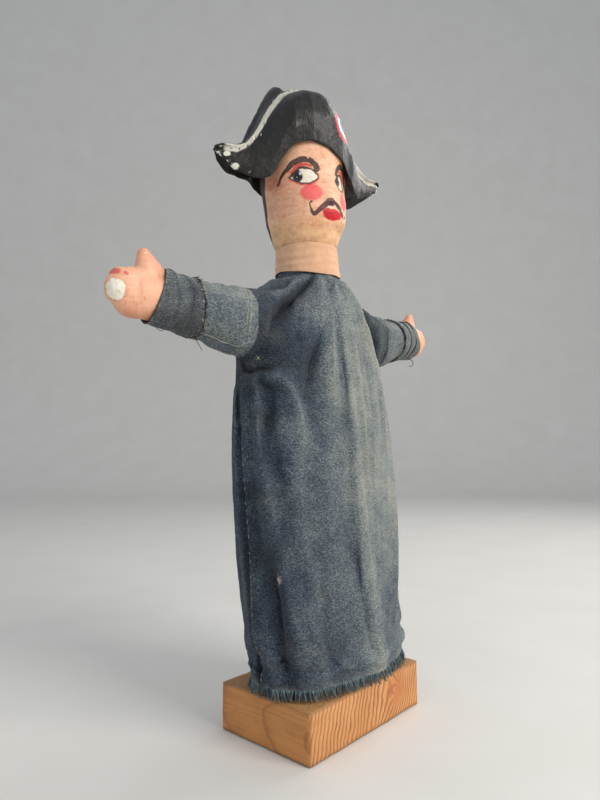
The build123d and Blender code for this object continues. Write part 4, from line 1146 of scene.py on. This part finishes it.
def build_hat():
    xs = np.concatenate([np.linspace(-85.5, -80, 12), np.linspace(-79.4, 79.4, 300), np.linspace(80, 85.5, 12)])
    zl = tab(xs, [(-86, 423), (-80, 417), (-73, 409), (-62, 405), (-55, 403), (-49, 402), (-44, 404.5), (-41, 409.5), (-37.5, 417), (-31, 426), (-24, 431), (-15, 432), (-8, 430.5),
                  (0, 428), (8, 424), (16, 420), (23, 414), (29, 408), (35, 404), (44, 402), (54, 406), (64, 411), (74, 416), (80, 419), (86, 424)])
    zt = tab(xs, [(-86, 430), (-80, 431), (-70, 430), (-62, 434), (-54, 444), (-45, 460), (-37, 472), (-28, 482), (-15, 490), (-3, 491.5), (9, 487), (18, 478), (27, 465), (35, 452), (43, 441), (54, 433), (66, 429), (80, 431), (86, 430)])
    zb = zt + 15.5 * np.exp(-((xs + 17) / 14.5) ** 2) + .6
    ax = np.abs(xs)
    w = lambda *p: np.interp(ax, [0, 15, 30, 40, 50, 62, 74, 82, 85.5], p)
    yfl = -w(42.5, 40.5, 33, 25, 17, 11, 8, 5, 1.5)
    yfm = -w(45.5, 43.5, 38.5, 31, 22, 15, 10, 6, 2)
    yfh = -w(37, 36, 32, 26, 19, 13, 9, 5.5, 1.8)
    far = 1 - .20 * sstep(4, 30, xs)
    yfl, yfm, yfh = yfl * (1 - .04 * sstep(4, 30, xs)), yfm * (1 - .12 * sstep(4, 30, xs)), yfh * far
    yft = -w(13, 13.5, 15, 15, 13.5, 10.5, 7, 4.5, 1.2)
    ybt = w(12, 12, 12, 11.5, 10.5, 9, 6.5, 4.5, 1.2)
    ybh = w(33, 32, 29, 24, 18, 13, 9, 5.5, 1.8)
    ybm = w(43, 41.5, 37, 30, 22, 15, 10, 6, 2)
    ybl = w(42, 40.5, 34, 26, 18, 11, 8, 5, 1.5)
    zbl = tab(xs, [(-86, 423), (-80, 417), (-73, 413), (-68, 413), (-60, 413), (-50, 416), (-40, 420), (0, 414), (40, 406), (50, 404), (62, 407), (80, 419), (86, 424)])
    xs = np.where(xs < -40, xs + .045 * (-40 - xs), xs)
    rings = []
    ns = 150
    for i, x in enumerate(xs):
        hgt = zt[i] - zl[i]
        c = [(yfl[i] + 1.2, zl[i] + .2), (yfl[i] - .6, zl[i] + 1.4), (yfm[i], zl[i] + .28 * hgt), (yfm[i] * .98, zl[i] + .5 * hgt), (yfh[i], zl[i] + .76 * hgt), (yft[i] - 3.2, zt[i] - 2.6),
             (yft[i] - .4, zt[i]), (yft[i] + 2.6, zt[i] - 1.2), (yft[i] * .25, zt[i] - min(4.2, .16 * hgt)), (ybt[i] * .45, zb[i] - min(5.0, .2 * hgt)), (ybt[i] - 2.2, zb[i] - 1.), (ybt[i] + .6, zb[i]),
             (ybt[i] + 3.2, zb[i] - 3.), (ybh[i], zbl[i] + .72 * (zb[i] - zbl[i])), (ybm[i], zbl[i] + .3 * (zb[i] - zbl[i])), (ybl[i] + .6, zbl[i] + 1.4), (ybl[i] - 1.2, zbl[i] + .2),
             (ybl[i] * .5, max(zl[i], zbl[i]) + min(8, .2 * hgt)), (yfl[i] * .5, max(zl[i], zbl[i]) + min(8, .2 * hgt))]
        ln = smooth_line([(0, a, b) for a, b in c + c[:1]], 152)[:-1]
        d = np.r_[0, np.cumsum(np.linalg.norm(np.diff(ln, axis=0), axis=1))]
        # same share of points to each stretch between control points, so rows run along the edges
        k = np.linspace(0, len(ln) - 1, ns)
        yy, zz = np.interp(k, np.arange(len(ln)), ln[:, 1]), np.interp(k, np.arange(len(ln)), ln[:, 2])
        rings.append(np.stack([np.full(ns, x), yy, zz], 1))
    n = len(xs)
    V = np.array(rings).reshape(-1, 3)
    F = grid_faces(n, ns)
    V = np.vstack([V, rings[0].mean(0) + [-1.0, 0, 0], rings[-1].mean(0) + [1.0, 0, 0]])
    for k in range(ns):
        F.append((len(V) - 2, (k + 1) % ns, k)); F.append((len(V) - 1, (n - 1) * ns + k, (n - 1) * ns + (k + 1) % ns))
    o = obj_from("hat_painted", V, F, HB)
    bm = bmesh.new(); bm.from_mesh(o.data); bmesh.ops.recalc_face_normals(bm, faces=bm.faces); bm.to_mesh(o.data); bm.free()
    N = normals_of(o) @ HB.T
    P = V + N * (.9 * fbm(V, 17., 61, 3) + .28 * fbm(V, 5., 62, 3) + .10 * fbm(V * [1, 1, .4], 1.6, 63, 2))[:, None]
    set_co(o, W(P, HB))
    s = np.append(np.tile(np.linspace(0, 1, ns), n), [0, 0]); x = V[:, 0]; y = V[:, 1]; z = V[:, 2]
    zti = np.interp(x, xs, zt); zbi = np.interp(x, xs, zb)
    S = lambda *c: np.array(srgb(*c))
    n1, n2, n3 = fbm(V, 12., 71, 3), fbm(V, 2.4, 72, 3), fbm(V * [1, 1, .35], 3., 73, 3)
    col = S(20, 17, 14)[None] * np.ones((len(V), 1))

    def lay(a, c):
        nonlocal col
        a = np.clip(a, 0, 1)[:, None]; col = col * (1 - a) + c * a
    lay(.75 * sstep(-.1, .6, n1), S(34, 29, 24)); lay(.5 * sstep(.1, .6, n3), S(48, 41, 34)); lay(.35 * sstep(.15, .6, -n3), S(10, 9, 9))
    # white edging along the front flap, brushed unevenly
    q = np.hypot(np.minimum(0, y - np.interp(x, xs, yft) + 7.) * .8, (z - zti + 4.4))
    wd = 2.9 + .8 * n2 + .5 * np.sin(x * .23)
    q = np.abs(q - 3.6 * sstep(-22, -4, x) * (1 - sstep(44, 56, x)))
    trim = (1 - sstep(wd - .5, wd + .45, q)) * sstep(-80, -77, x) * (1 - sstep(77, 80, x)) * (y < np.interp(x, xs, yft) + 1.2)
    gap = sstep(.42, .52, fbm(V, 3.2, 76, 3))
    lay(trim * (1 - .85 * gap) * (.86 + .14 * n3), S(214, 208, 194)); lay(trim * .4 * sstep(.1, .5, n2), S(150, 144, 132))
    # a painted three-colour rosette on the left of the flap
    fr = (y < -12)
    r = np.hypot((x - 17.5) / 11.6, (z - 451) / 13.6) + .035 * n2
    for rad, c in ((1.0, S(196, 34, 44)), (.70, S(226, 220, 210)), (.46, S(52, 92, 152))):
        lay((1 - sstep(rad - .035, rad + .035, r)) * fr, c)
    lay((r < 1.02) * fr * .3 * sstep(.2, .6, n3), S(240, 232, 220))
    # knocks down to the white ground: tips, lower edges, a scatter of pinholes
    tip = sstep(70, 80, np.abs(x))
    edge = np.exp(-((z - np.interp(x, xs, zl)) / 2.2) ** 2) * (y < 0)
    chips = np.maximum.reduce([(fbm(V, 3.0, 81, 3) > .42) * tip * (z < 424), (fbm(V, 2.2, 82, 2) > .50) * edge * (np.abs(x) > 46), 1. * (vnoise(V, 1.3, 83) > .93) * (fbm(V, 14., 84, 2) > .05)])
    for (cx, cy, cz), rr in (((-77, -8, 421), 2.6), ((-71, -9, 411), 3.0), ((-80, -3, 428), 1.8), ((81, -5, 426), 2.0), ((80, -4, 421), 1.8), ((4, -36, 472), .8), ((-2, -42, 452), .9), ((6, -43, 448), .7)):
        dd = np.linalg.norm((V - [cx, cy, cz]) * [1, .7, 1.25], axis=1) + .7 * n2
        chips = np.maximum(chips, 1 - sstep(rr - .3, rr + .2, dd))
    lay(chips, S(232, 226, 212))
    set_color(o, "paint", col)
    set_color(o, "chip", np.clip(chips + trim * .7, 0, 1))
    m = Mat("hat_paint"); v = m.coord(1000.)
    fine = m.noise(v, 1.1, 4., .7); mid = m.noise(v, .28, 4., .6, 1.2); st = m.noise(m.coord((900., 900., 260.)), .9, 3., .7, .6)
    c = m.mix(m.math("MULTIPLY", m.maprange(st, .56, .72), .24), m.attr("paint"), srgb(92, 86, 78))
    b = m.bump(m.math("ADD", m.math("MULTIPLY", fine, .5), st), .00055, .75); b = m.bump(mid, .0016, .5, b)
    m.out(c, m.math("ADD", m.maprange(mid, .35, .7, .28, .52, False), m.math("MULTIPLY", m.attr("chip"), .3), clamp=True), b)
    m.b.inputs["Coat Weight"].default_value = .15; m.b.inputs["Coat Roughness"].default_value = .16; m.b.inputs["Specular IOR Level"].default_value = .34
    o.data.materials.append(m.m)
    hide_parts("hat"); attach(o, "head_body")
    return o


hat = build_hat()

# ------------------------------------------------------------------ hands, cuffs and threads
def blobs(parts):
    """ellipsoids and capsules as rough solids, to be welded by a remesh"""
    out = []
    for kind, *a in parts:
        V = []; nu, nv = 28, 18
        if kind == "e":
            c, r = np.array(a[0], float), np.array(a[1], float)
            for i in range(nv + 1):
                p = math.pi * i / nv
                for j in range(nu):
                    q = 2 * math.pi * j / nu
                    V.append(c + r * np.array([math.sin(p) * math.cos(q), math.sin(p) * math.sin(q), math.cos(p)]))
            out.append((np.array(V), grid_faces(nv + 1, nu)))
        else:
            path = smooth_line(a[0], 30); rad = np.interp(np.linspace(0, 1, len(path)), np.linspace(0, 1, len(a[1])), a[1])
            v, f = tube_mesh(path, rad, 24)
            v = v * 1.
            if len(a) > 2:
                v[:, 1] *= a[2]
            out.append((v, f))
            for k in (0, -1):
                sub = blobs([("e", path[k], (rad[k], rad[k] * (a[2] if len(a) > 2 else 1), rad[k]))])
                out.append(sub)
    return merged(out)


def build_hand(side):
    s = -1 if side == "right" else 1
    A = ARM_Z
    V, F = blobs([("t", [(146, 0, A), (158, 0, A), (170, 0, A)], [15.4, 16.2, 15.4], .92),
                  ("e", (175, 0, A - .5), (16.5, 11.6, 15.6)), ("e", (183, 0, A + 3), (12.4, 10.6, 13.0)), ("e", (184.5, 0, A + 8), (8.4, 9., 8.6)), ("e", (176, 0, A + 9), (12, 10.4, 9.4)),
                  ("t", [(165, -1, A + 7), (167, -2, A + 17), (168.6, -2.5, A + 27.4)], [10., 8.0, 4.4], 1.), ("t", [(157, -1, A + 11), (163, -2, A + 18.5), (168.4, -2.5, A + 27.)], [8.5, 7.2, 4.2], 1.)])
    k = .94 if s > 0 else 1.
    V = (V - [146, 0, A]) * k + [146, 0, A]
    V = V * [s, 1, 1]
    if s > 0:
        F = [f for f in F]
    o = obj_from(side + "_hand_paint", V, F)
    bm = bmesh.new(); bm.from_mesh(o.data); bmesh.ops.recalc_face_normals(bm, faces=bm.faces); bm.to_mesh(o.data); bm.free()
    remesh_smooth(o, .0008, 9)
    P = L(co_of(o)); N = normals_of(o) @ PB.T
    d = .35 * fbm(P, 8., 91 + s, 3) + .10 * fbm(P, 2., 92, 2)
    # a shallow web between thumb and palm, faint finger lines
    u = np.abs(P[:, 0]); v = P[:, 2] - A
    d -= .9 * np.exp(-((u - 176.5) / 3.2) ** 2 - ((v - 17) / 5.) ** 2)
    for vv in (-6, 1, 8):
        d -= .28 * np.exp(-((v - vv - .16 * (u - 180)) / .9) ** 2) * sstep(177, 185, u)
    P = P + N * d[:, None]
    set_co(o, W(P))
    bm = bmesh.new(); bm.from_mesh(o.data)
    bmesh.ops.bisect_plane(bm, geom=list(bm.verts) + list(bm.edges) + list(bm.faces), plane_co=tuple(W((s * 141.5, 0, A))), plane_no=tuple(-s * XV), clear_outer=True)
    bm.to_mesh(o.data); bm.free()
    P = L(co_of(o)); u = np.abs(P[:, 0]); v = P[:, 2] - A; y = P[:, 1]
    S = lambda *c: np.array(srgb(*c))
    n1, n2 = fbm(P, 9., 95 + s, 3), fbm(P, 2.4, 96, 3)
    col = S(232, 172, 138)[None] * np.ones((len(P), 1))

    def lay(a, c):
        nonlocal col
        a = np.clip(a, 0, 1)[:, None]; col = col * (1 - a) + c * a
    lay(.5 * sstep(0, .6, n1), S(222, 150, 114)); lay(.4 * sstep(0, .6, -n1), S(240, 188, 156))
    lay(.45 * np.exp(-((u - 168) / 6.) ** 2 - ((v - 24) / 6.) ** 2) * (.6 + .5 * n2), S(206, 96, 70))
    # darker towards the wrist and on the underside: painted shade
    lay(.4 * sstep(166, 160, u), S(196, 128, 96)); lay(.35 * sstep(-9, -15, v), S(196, 116, 88))
    chip = np.zeros(len(P))
    if s < 0:
        r = np.hypot((v + 1.5) / 9.4, np.hypot((u - 197.), np.maximum(0, y + 9)) / 10.2) + .20 * n2 + .12 * n1
        chip = 1 - sstep(.93, 1.0, r)
        lay((1 - sstep(1.0, 1.14, r)) * .6, S(206, 128, 98)); lay(chip, S(240, 232, 214)); lay(chip * sstep(.2, .6, n2) * .5, S(206, 198, 178))
        for (uu, vv, rr) in ((191.5, 12.4, 3.3), (186.0, 10.4, 1.6)):
            lay(.8 * (1 - sstep(.7, 1.15, np.hypot(u - uu, v - vv) / rr + .2 * n2)) * (y < 0), S(198, 66, 72))
    lay(.30 * sstep(.3, .6, fbm(P, 1.5, 99, 2)), S(150, 96, 72))
    small = sstep(.64, .7, fbm(P, 2.2, 101 + s, 3)); lay(small * .8, S(236, 222, 200)); chip = np.maximum(chip, small)
    set_color(o, "paint", col)
    m = Mat(side + "_hand_paint"); vv = m.coord(1000.)
    fine = m.noise(vv, 1.5, 4., .7); mid = m.noise(vv, .45, 3., .6, .8)
    c = m.mix(m.math("MULTIPLY", m.maprange(fine, .52, .75), .2), m.attr("paint"), srgb(140, 88, 64))
    m.out(c, m.maprange(mid, .3, .7, .42, .6, False), m.bump(mid, .0005, .5, m.bump(fine, .0002, .6)))
    m.b.inputs["Subsurface Weight"].default_value = .03; m.b.inputs["Subsurface Radius"].default_value = (.004, .002, .001)
    o.data.materials.clear(); o.data.materials.append(m.m)
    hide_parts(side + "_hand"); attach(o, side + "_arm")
    return o


def cuff_point(side, a, t):
    """a: angle about the arm, 0 towards -Y, quarter turn up; t 0 at the sleeve edge, 1 at the hand edge"""
    s = -1 if side == "right" else 1
    sn, cs = np.sin(a), np.cos(a)
    fr = np.maximum(0, cs)
    if s < 0:
        u0 = 127.5 - .5 * sn + 4.6 * fr + 1.4 * np.sin(2 * a + .4); u1 = 159.2 - 6.8 * sn + 5.0 * fr
    else:
        u0 = 125.0 - 2. * sn + 1.2 * np.sin(2 * a + 2.); u1 = 160.5 - 5.0 * sn + 2.0 * fr
    u = u0 + (u1 - u0) * t
    r = np.interp(u, (118, 128, 140, 152, 168), (21.3, 21.2, 20.3, 19.6, 18.8))
    ry = r * np.interp(u, (125, 145, 165), (1., .96, .84))
    r = r + 1.6 * sstep(143, 154, u) * np.maximum(0, sn) ** 2 - 1.4 * sstep(150, 166, u) * np.maximum(0, -sn)
    if s > 0:
        for uu in (141., 152.):
            k = .85 * np.exp(-((u - uu) / 1.7) ** 2); r = r - k; ry = ry - k
    w = .55 * np.sin(u * .55 + 2.2 * np.sin(a + s)) * np.sin(3 * a + s) + .5 * np.sin(5 * a + .1 * u) * sstep(135, 155, u)
    q = np.stack([u, 8 * np.cos(a), 8 * np.sin(a)], -1)
    w = w + .7 * fbm(q, 9., 111 + s, 3)
    r = r + w; ry = ry + w
    return np.stack([s * u, -ry * cs, ARM_Z - 2.6 * (1 - sstep(126, 154, u)) + r * sn], -1)


def build_cuff(side):
    s = -1 if side == "right" else 1
    na, nt = 220, 70
    A, T = np.meshgrid(np.linspace(0, 2 * math.pi, na, endpoint=False), np.linspace(0, 1, nt))
    P = cuff_point(side, A.ravel(), T.ravel())
    # tatter the sleeve-side edge
    e = (T.ravel() < .02)
    P[e, 0] += -s * (1.4 * np.abs(fbm(P[e], 2.0, 121, 2)))
    F = grid_faces(nt, na, flip=(s > 0))
    o = obj_from(side + "_cuff_cloth", P, F)
    bm = bmesh.new(); bm.from_mesh(o.data); bmesh.ops.recalc_face_normals(bm, faces=bm.faces); bm.to_mesh(o.data); bm.free()
    N = normals_of(o) @ PB.T
    rad = P - np.stack([P[:, 0], 0 * P[:, 0], 0 * P[:, 0] + ARM_Z], -1)
    if (N * rad).sum() < 0:
        o.data.flip_normals()
    T1 = T.ravel(); a = A.ravel()
    # random blotches, lighter on the top and darker underneath as painted light and shade
    f = (.42 if s < 0 else .62) + .20 * fbm(P, 14., 131, 3) + .14 * sstep(.2, 1., np.sin(a)) - .10 * sstep(.0, .8, -np.sin(a))
    n2 = fbm(P * [1, 1, 1], 1.8, 132, 2)
    # darker at both edges: painted shade under the sleeve's end and where the hand comes out, broken by noise
    darkening = .75 * np.exp(-(T1 / .035) ** 2) * (n2 > -.25) + .5 * np.exp(-((T1 - 1) / .03) ** 2)
    pale = .55 * np.exp(-((T1 - .05) / .03) ** 2) * (n2 > .15) + .35 * np.exp(-((T1 - .975) / .018) ** 2) * (n2 > 0)
    # painted shade in the pinched grooves under the wound thread
    if s > 0:
        uu = np.abs(P[:, 0])
        darkening = np.maximum(darkening, .55 * np.maximum(np.exp(-((uu - 141) / 1.5) ** 2), np.exp(-((uu - 152) / 1.5) ** 2)))
    set_color(o, "fade_and_shade", np.stack([np.clip(f, 0, 1), np.clip(darkening, 0, 1), np.clip(pale, 0, 1)], 1))
    md = o.modifiers.new("s", "SOLIDIFY"); md.thickness = .0009; md.offset = -1
    o.data.materials.append(M_SLEEVE)
    apply_mods(o)
    o.data.polygons.foreach_set("use_smooth", [True] * len(o.data.polygons))
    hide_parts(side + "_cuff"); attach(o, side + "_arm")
    return o


rng = np.random.default_rng(7)


def wiggle(p0, d, length, n=6, droop=.0, amp=.25):
    """a loose thread from p0 along d"""
    d = np.array(d, float); d /= np.linalg.norm(d) + 1e-9
    k = rng.normal(size=3) * amp; k2 = rng.normal(size=3) * amp
    out = []
    for t in np.linspace(0, 1, n):
        out.append(np.array(p0) + d * length * t + (k * t ** 2 + k2 * t ** 3) * length * .6 + np.array([0, 0, -droop * length * t ** 2]))
    return np.array(out)


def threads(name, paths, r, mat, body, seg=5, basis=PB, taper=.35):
    V, F = merged([tube_mesh(p, r * (1 + .25 * rng.normal() * .5), seg, taper) for p in paths])
    o = obj_from(name, V, F, basis, True, mat)
    if body:
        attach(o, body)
    return o


hands = {s: build_hand(s) for s in ("right", "left")}
cuffs = {s: build_cuff(s) for s in ("right", "left")}

for side, s in (("right", -1), ("left", 1)):
    # frayed sleeve-side edge of the cuff
    dark, pale = [], []
    for a in rng.uniform(0, 2 * math.pi, 230):
        p = cuff_point(side, np.array([a]), np.array([rng.uniform(.0, .03)]))[0]
        out = np.array([0, -math.cos(a), math.sin(a)])
        d = np.array([-s * rng.uniform(.2, 1.2), 0, 0]) + out * rng.uniform(.02, .35) + np.array([0, math.sin(a), math.cos(a)]) * rng.normal() * .9
        (dark if rng.random() < .6 else pale).append(wiggle(p + out * .15, d, rng.uniform(1.2, 3.6)))
    # whip stitches over the lap
    for a in np.linspace(0, 2 * math.pi, 46, endpoint=False):
        b = a + rng.normal() * .03
        q = [cuff_point(side, np.array([b + .05 * k]), np.array([t]))[0] + np.array([0, -math.cos(b), math.sin(b)]) * h for k, t, h in ((0, .10, -.1), (.4, .06, .45), (.8, .0, .6), (1.2, -.04, .0))]
        dark.append(smooth_line(q, 8))
    threads(side + "_cuff_fray_dark", dark, .20, M_THREAD_DARK, side + "_arm")
    threads(side + "_cuff_fray_pale", pale, .17, M_THREAD_PALE, side + "_arm")
    # thread wound round the wrist, two places
    for k, uu in enumerate((141., 152.)):
        turns = 3.2
        aa = np.linspace(0, 2 * math.pi * turns, 220)
        pts = []
        for j, a in enumerate(aa):
            u = uu - .9 + 1.8 * j / len(aa) + .35 * math.sin(a * 1.3 + k)
            sn, cs = math.sin(a), math.cos(a)
            u0, u1 = cuff_point(side, np.array([a]), np.array([0., ]))[0][0] * s, cuff_point(side, np.array([a]), np.array([1.]))[0][0] * s
            t = (u - u0) / (u1 - u0)
            p = cuff_point(side, np.array([a]), np.array([t]))[0]
            pts.append(p + np.array([0, -cs, sn]) * (.22 if s > 0 else .02))
        o = threads(side + "_wrist_thread_%d" % (k + 1), [np.array(pts)], .28 if s > 0 else .2, M_THREAD_DARK if s > 0 else M_SLEEVE, side + "_arm", taper=0.)
        if s < 0:
            set_color(o, "fade_and_shade", np.tile([.4, .2, 0.], (len(o.data.vertices), 1)))
        if k == 0:
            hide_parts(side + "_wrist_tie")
# loose ends: under the near cuff, and the curl under the far one
threads("right_cuff_loose", [smooth_line([(-130, -6, 268.5), (-134, -9, 263), (-131.5, -10, 257.5), (-128, -9, 254)], 16), smooth_line([(-133, -4, 268), (-136, -6, 264), (-139, -6, 262), (-141, -5, 263.5)], 12),
                             smooth_line([(-160, -4, 270), (-163, -6, 266.5), (-160, -7, 264.6), (-158, -6, 266)], 12), smooth_line([(-128, -8, 270), (-131, -10, 266), (-127.5, -11, 263.5), (-126, -9, 266)], 12)], .3, M_THREAD_DARK, "right_arm")
threads("left_cuff_loose", [smooth_line([(152, -7, 269), (155.5, -9, 267), (157, -9.5, 263.5), (153.5, -9, 260.5), (149.5, -9, 261)], 20)], .42, M_THREAD_DARK, "left_arm")


def surf(names):
    import mathutils
    from mathutils.bvhtree import BVHTree
    V, F, off = [], [], 0
    for n in names:
        me = pieces[n].data
        V += [tuple(v.co) for v in me.vertices]; F += [tuple(i + off for i in p.vertices) for p in me.polygons]; off = len(V)
    return BVHTree.FromPolygons(V, F)


def on_surface(tree, P, lift=.2):
    out = []
    for p in P:
        loc, nor, i, d = tree.find_nearest(Vector(W(p)))
        q = L(np.array(loc)); n = np.array(nor) @ PB.T
        c = np.array([q[0] if abs(q[0]) < 84 else q[0], 0, ARM_Z if abs(q[0]) > 84 else q[2]])
        if (q - c) @ n < 0:
            n = -n
        out.append(q + n * lift)
    return np.array(out)


BODY_T = surf(["glove_body"]); SL = {s: surf([s + "_sleeve_in", s + "_sleeve_out"]) for s in ("right", "left")}


def sleeve_threads(name, side, paths, r, mat):
    s = -1 if side == "right" else 1
    for tag, lo_, hi_, a, b, u0, u1 in (("in", 80, 106, "glove", side + "_shoulder", 84.5, 105.5), ("out", 106, 132, side + "_shoulder", side + "_arm", 106.5, 127.5)):
        sub = []
        for p in paths:
            m = (np.abs(p[:, 0]) >= lo_ - .01) & (np.abs(p[:, 0]) <= hi_ + .01)
            if m.sum() > 1:
                sub.append(p[m])
        if not sub:
            continue
        o = threads(name + "_" + tag, sub, r, mat, None, taper=.1)
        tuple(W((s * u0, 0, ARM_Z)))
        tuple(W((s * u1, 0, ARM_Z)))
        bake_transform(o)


def stitch_run(tree, line, step, gap, lift=.32, wob=.25):
    """a running stitch: short raised dashes that dive into the cloth"""
    line = smooth_line(line, 300); seg = np.r_[0, np.cumsum(np.linalg.norm(np.diff(line, axis=0), axis=1))]
    out = []; d = 0.
    while d < seg[-1] - step:
        L1 = step * rng.uniform(.75, 1.2)
        q = np.array([[np.interp(d + L1 * t, seg, line[:, k]) for k in range(3)] for t in (0, .3, .7, 1)]) + rng.normal(size=3) * wob
        q = on_surface(tree, q, 0.)
        lifted = on_surface(tree, q, lift)
        q[1:3] = lifted[1:3]; q[[0, 3]] += (q[[0, 3]] - lifted[[0, 3]]) * .4
        out.append(q); d += L1 + gap * rng.uniform(.7, 1.4)
    return out


def arc(side, u, a0, a1, r=24., n=24, du=0.):
    s = -1 if side == "right" else 1
    a = np.linspace(math.radians(a0), math.radians(a1), n)
    return [(s * (u - 3.0 * math.sin(k) + 6.5 * max(0, math.cos(k))), -r * math.cos(k), ARM_Z + r * math.sin(k)) for k in a]


for side, s in (("right", -1), ("left", 1)):
    sleeve_threads(side + "_armhole_stitch", side, stitch_run(SL[side], arc(side, 87.6, -170, 180, 24, 40), 2.4, 1.5), .24, M_THREAD_PALE)
lower = [(-128, -6, 266.5), (-118, -8, 263.5), (-108, -9, 261.5), (-97, -11, 260.5), (-88.5, -14, 264)]
long_line = on_surface(SL["right"], smooth_line(lower, 90), .35)
sleeve_threads("right_sleeve_thread", "right", [long_line], .24, M_THREAD_PALE)
long_l = on_surface(SL["left"], smooth_line([(126, -12, 271), (112, -14, 268), (98, -14, 266)], 60), .3)
sleeve_threads("left_sleeve_thread", "left", [long_l], .2, M_THREAD_PALE)

# side seams: small sewn dashes beside the groove, the knot at the armpit, the darned hole
seam = []
for s in (-1, 1):
    line = []
    for z in np.linspace(246, 14, 60):
        a = np.interp(z, TORSO[:, 0], TORSO[:, 1]); b = np.interp(z, TORSO[:, 0], TORSO[:, 2])
        y = .2 + 2.2 * math.sin(z * .03)
        line.append((s * a * math.sqrt(max(0, 1 - (y / b) ** 2)), y, z))
    seam += stitch_run(BODY_T, line, 2.6, 3.2, .25, .15)
threads("side_stitches", seam, .17, M_THREAD_PALE, "glove")
knot = []
for k in range(9):
    c = on_surface(BODY_T, [(-76, -11.5, 252.5)], .6)[0]
    knot.append(wiggle(c + rng.normal(size=3) * .4, rng.normal(size=3), rng.uniform(1., 2.6), 6, .2, .6))
for k in range(26):
    c = on_surface(BODY_T, [(-76 + rng.normal() * 1.2, -21, 90 + rng.normal() * 2.2)], .1)[0]
    knot.append(wiggle(c, np.array([-.5, -.6, 0]) + rng.normal(size=3) * 1.1, rng.uniform(1., 3.0), 6, .3, .5))
threads("knot_and_darn", knot, .17, M_THREAD_PALE, "glove")

# the frayed hem
me = pieces["glove_body"].data
bm = bmesh.new(); bm.from_mesh(me)
ring = [e for e in bm.edges if e.is_boundary and all(abs(v.co.z * 1000 - HEM) < 2.5 for v in e.verts)]
hem_pts = [L(np.array((e.verts[0].co + e.verts[1].co) / 2)) for e in ring]
hem_n = [np.array((e.verts[0].normal + e.verts[1].normal) / 2) @ PB.T for e in ring]
bm.free()
hem_pts, hem_n = np.array(hem_pts), np.array(hem_n)
order = np.argsort(np.arctan2(hem_pts[:, 1], hem_pts[:, 0])); hem_pts, hem_n = hem_pts[order], hem_n[order]


def low_z(p):
    """how low the point comes over the block as the post turns, mm"""
    z = float(W(p)[2] * 1000); out = z
    for t in (-30, -20, -10, 10, 20, 30):
        c, s = math.cos(math.radians(t)), math.sin(math.radians(t))
        w = W((p[0] * c - p[1] * s, p[0] * s + p[1] * c, p[2]))
        if BLK_LO[0] - .001 < w[0] < BLK_HI[0] + .001 and BLK_LO[1] - .001 < w[1] < BLK_HI[1] + .001:
            out = min(out, float(w[2] * 1000))
    return out


frA, frB, frC = [], [], []
cum = np.r_[0, np.cumsum(np.linalg.norm(np.diff(np.vstack([hem_pts, hem_pts[:1]]), axis=0), axis=1))]
clump = rng.normal(size=200)
for d in np.arange(0, cum[-1], .42):
    i = min(np.searchsorted(cum, d) - 1, len(hem_pts) - 1); i = max(i, 0)
    j = (i + 1) % len(hem_pts); t = (d - cum[i]) / max(1e-6, cum[i + 1] - cum[i])
    p = hem_pts[i] * (1 - t) + hem_pts[j] * t; n = hem_n[i]; n = n / (np.linalg.norm(n) + 1e-9)
    tan = hem_pts[j] - hem_pts[i]; tan /= np.linalg.norm(tan) + 1e-9
    lean = .30 * clump[int(d / 3.1) % 200] + .18 * rng.normal()
    ln = rng.uniform(4.2, 8.6)
    k1, k2 = rng.uniform(.02, .36), rng.uniform(.0, .6)
    q = []
    for s_ in np.linspace(0, 1, 6):
        x = p + np.array([0, 0, 1.5]) * (1 - s_) * .6 + np.array([0, 0, -1.]) * ln * s_ + tan * lean * ln * s_ ** 1.4 + n * (k1 * ln * s_ + k2 * s_ ** 2 * 1.2 - .1)
        w = low_z(x)
        if w < BLK_HI[2] * 1000 + .35:
            x = x + np.array([0, 0, BLK_HI[2] * 1000 + .35 - w]) + n * .5 * (BLK_HI[2] * 1000 + .35 - w)
        q.append(x)
    (frA if rng.random() < .30 else frB if rng.random() < .8 else frC).append(np.array(q))
M_FR_BLUE = plain_detail("fringe_blue", srgb(58, 84, 98), srgb(34, 50, 68), .9, 0, 1.5)
M_FR_PALE = plain_detail("fringe_pale", srgb(128, 146, 144), srgb(92, 112, 116), .9, 0, 1.5)
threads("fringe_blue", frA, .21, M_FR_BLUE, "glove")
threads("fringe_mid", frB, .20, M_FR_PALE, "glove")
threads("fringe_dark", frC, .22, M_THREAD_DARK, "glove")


# ------------------------------------------------------------------ carried-over CAD nodes
for nm, mt in {"post": M_DOWEL, "post_screw": M_STEEL, "stop_pin": M_STEEL, "armature_loop": M_WIRE,
               "right_shoulder_wire": M_WIRE, "left_shoulder_wire": M_WIRE, "right_arm_wire": M_WIRE, "left_arm_wire": M_WIRE,
               "right_finger_tube": M_CARD, "left_finger_tube": M_CARD, "neck_tube": M_CARD,
               "finger_hole_wad": M_FELT, "neck_tie": M_STRING}.items():
    o = frame["nodes"][nm]
    o.data.materials.clear(); o.data.materials.append(mt)
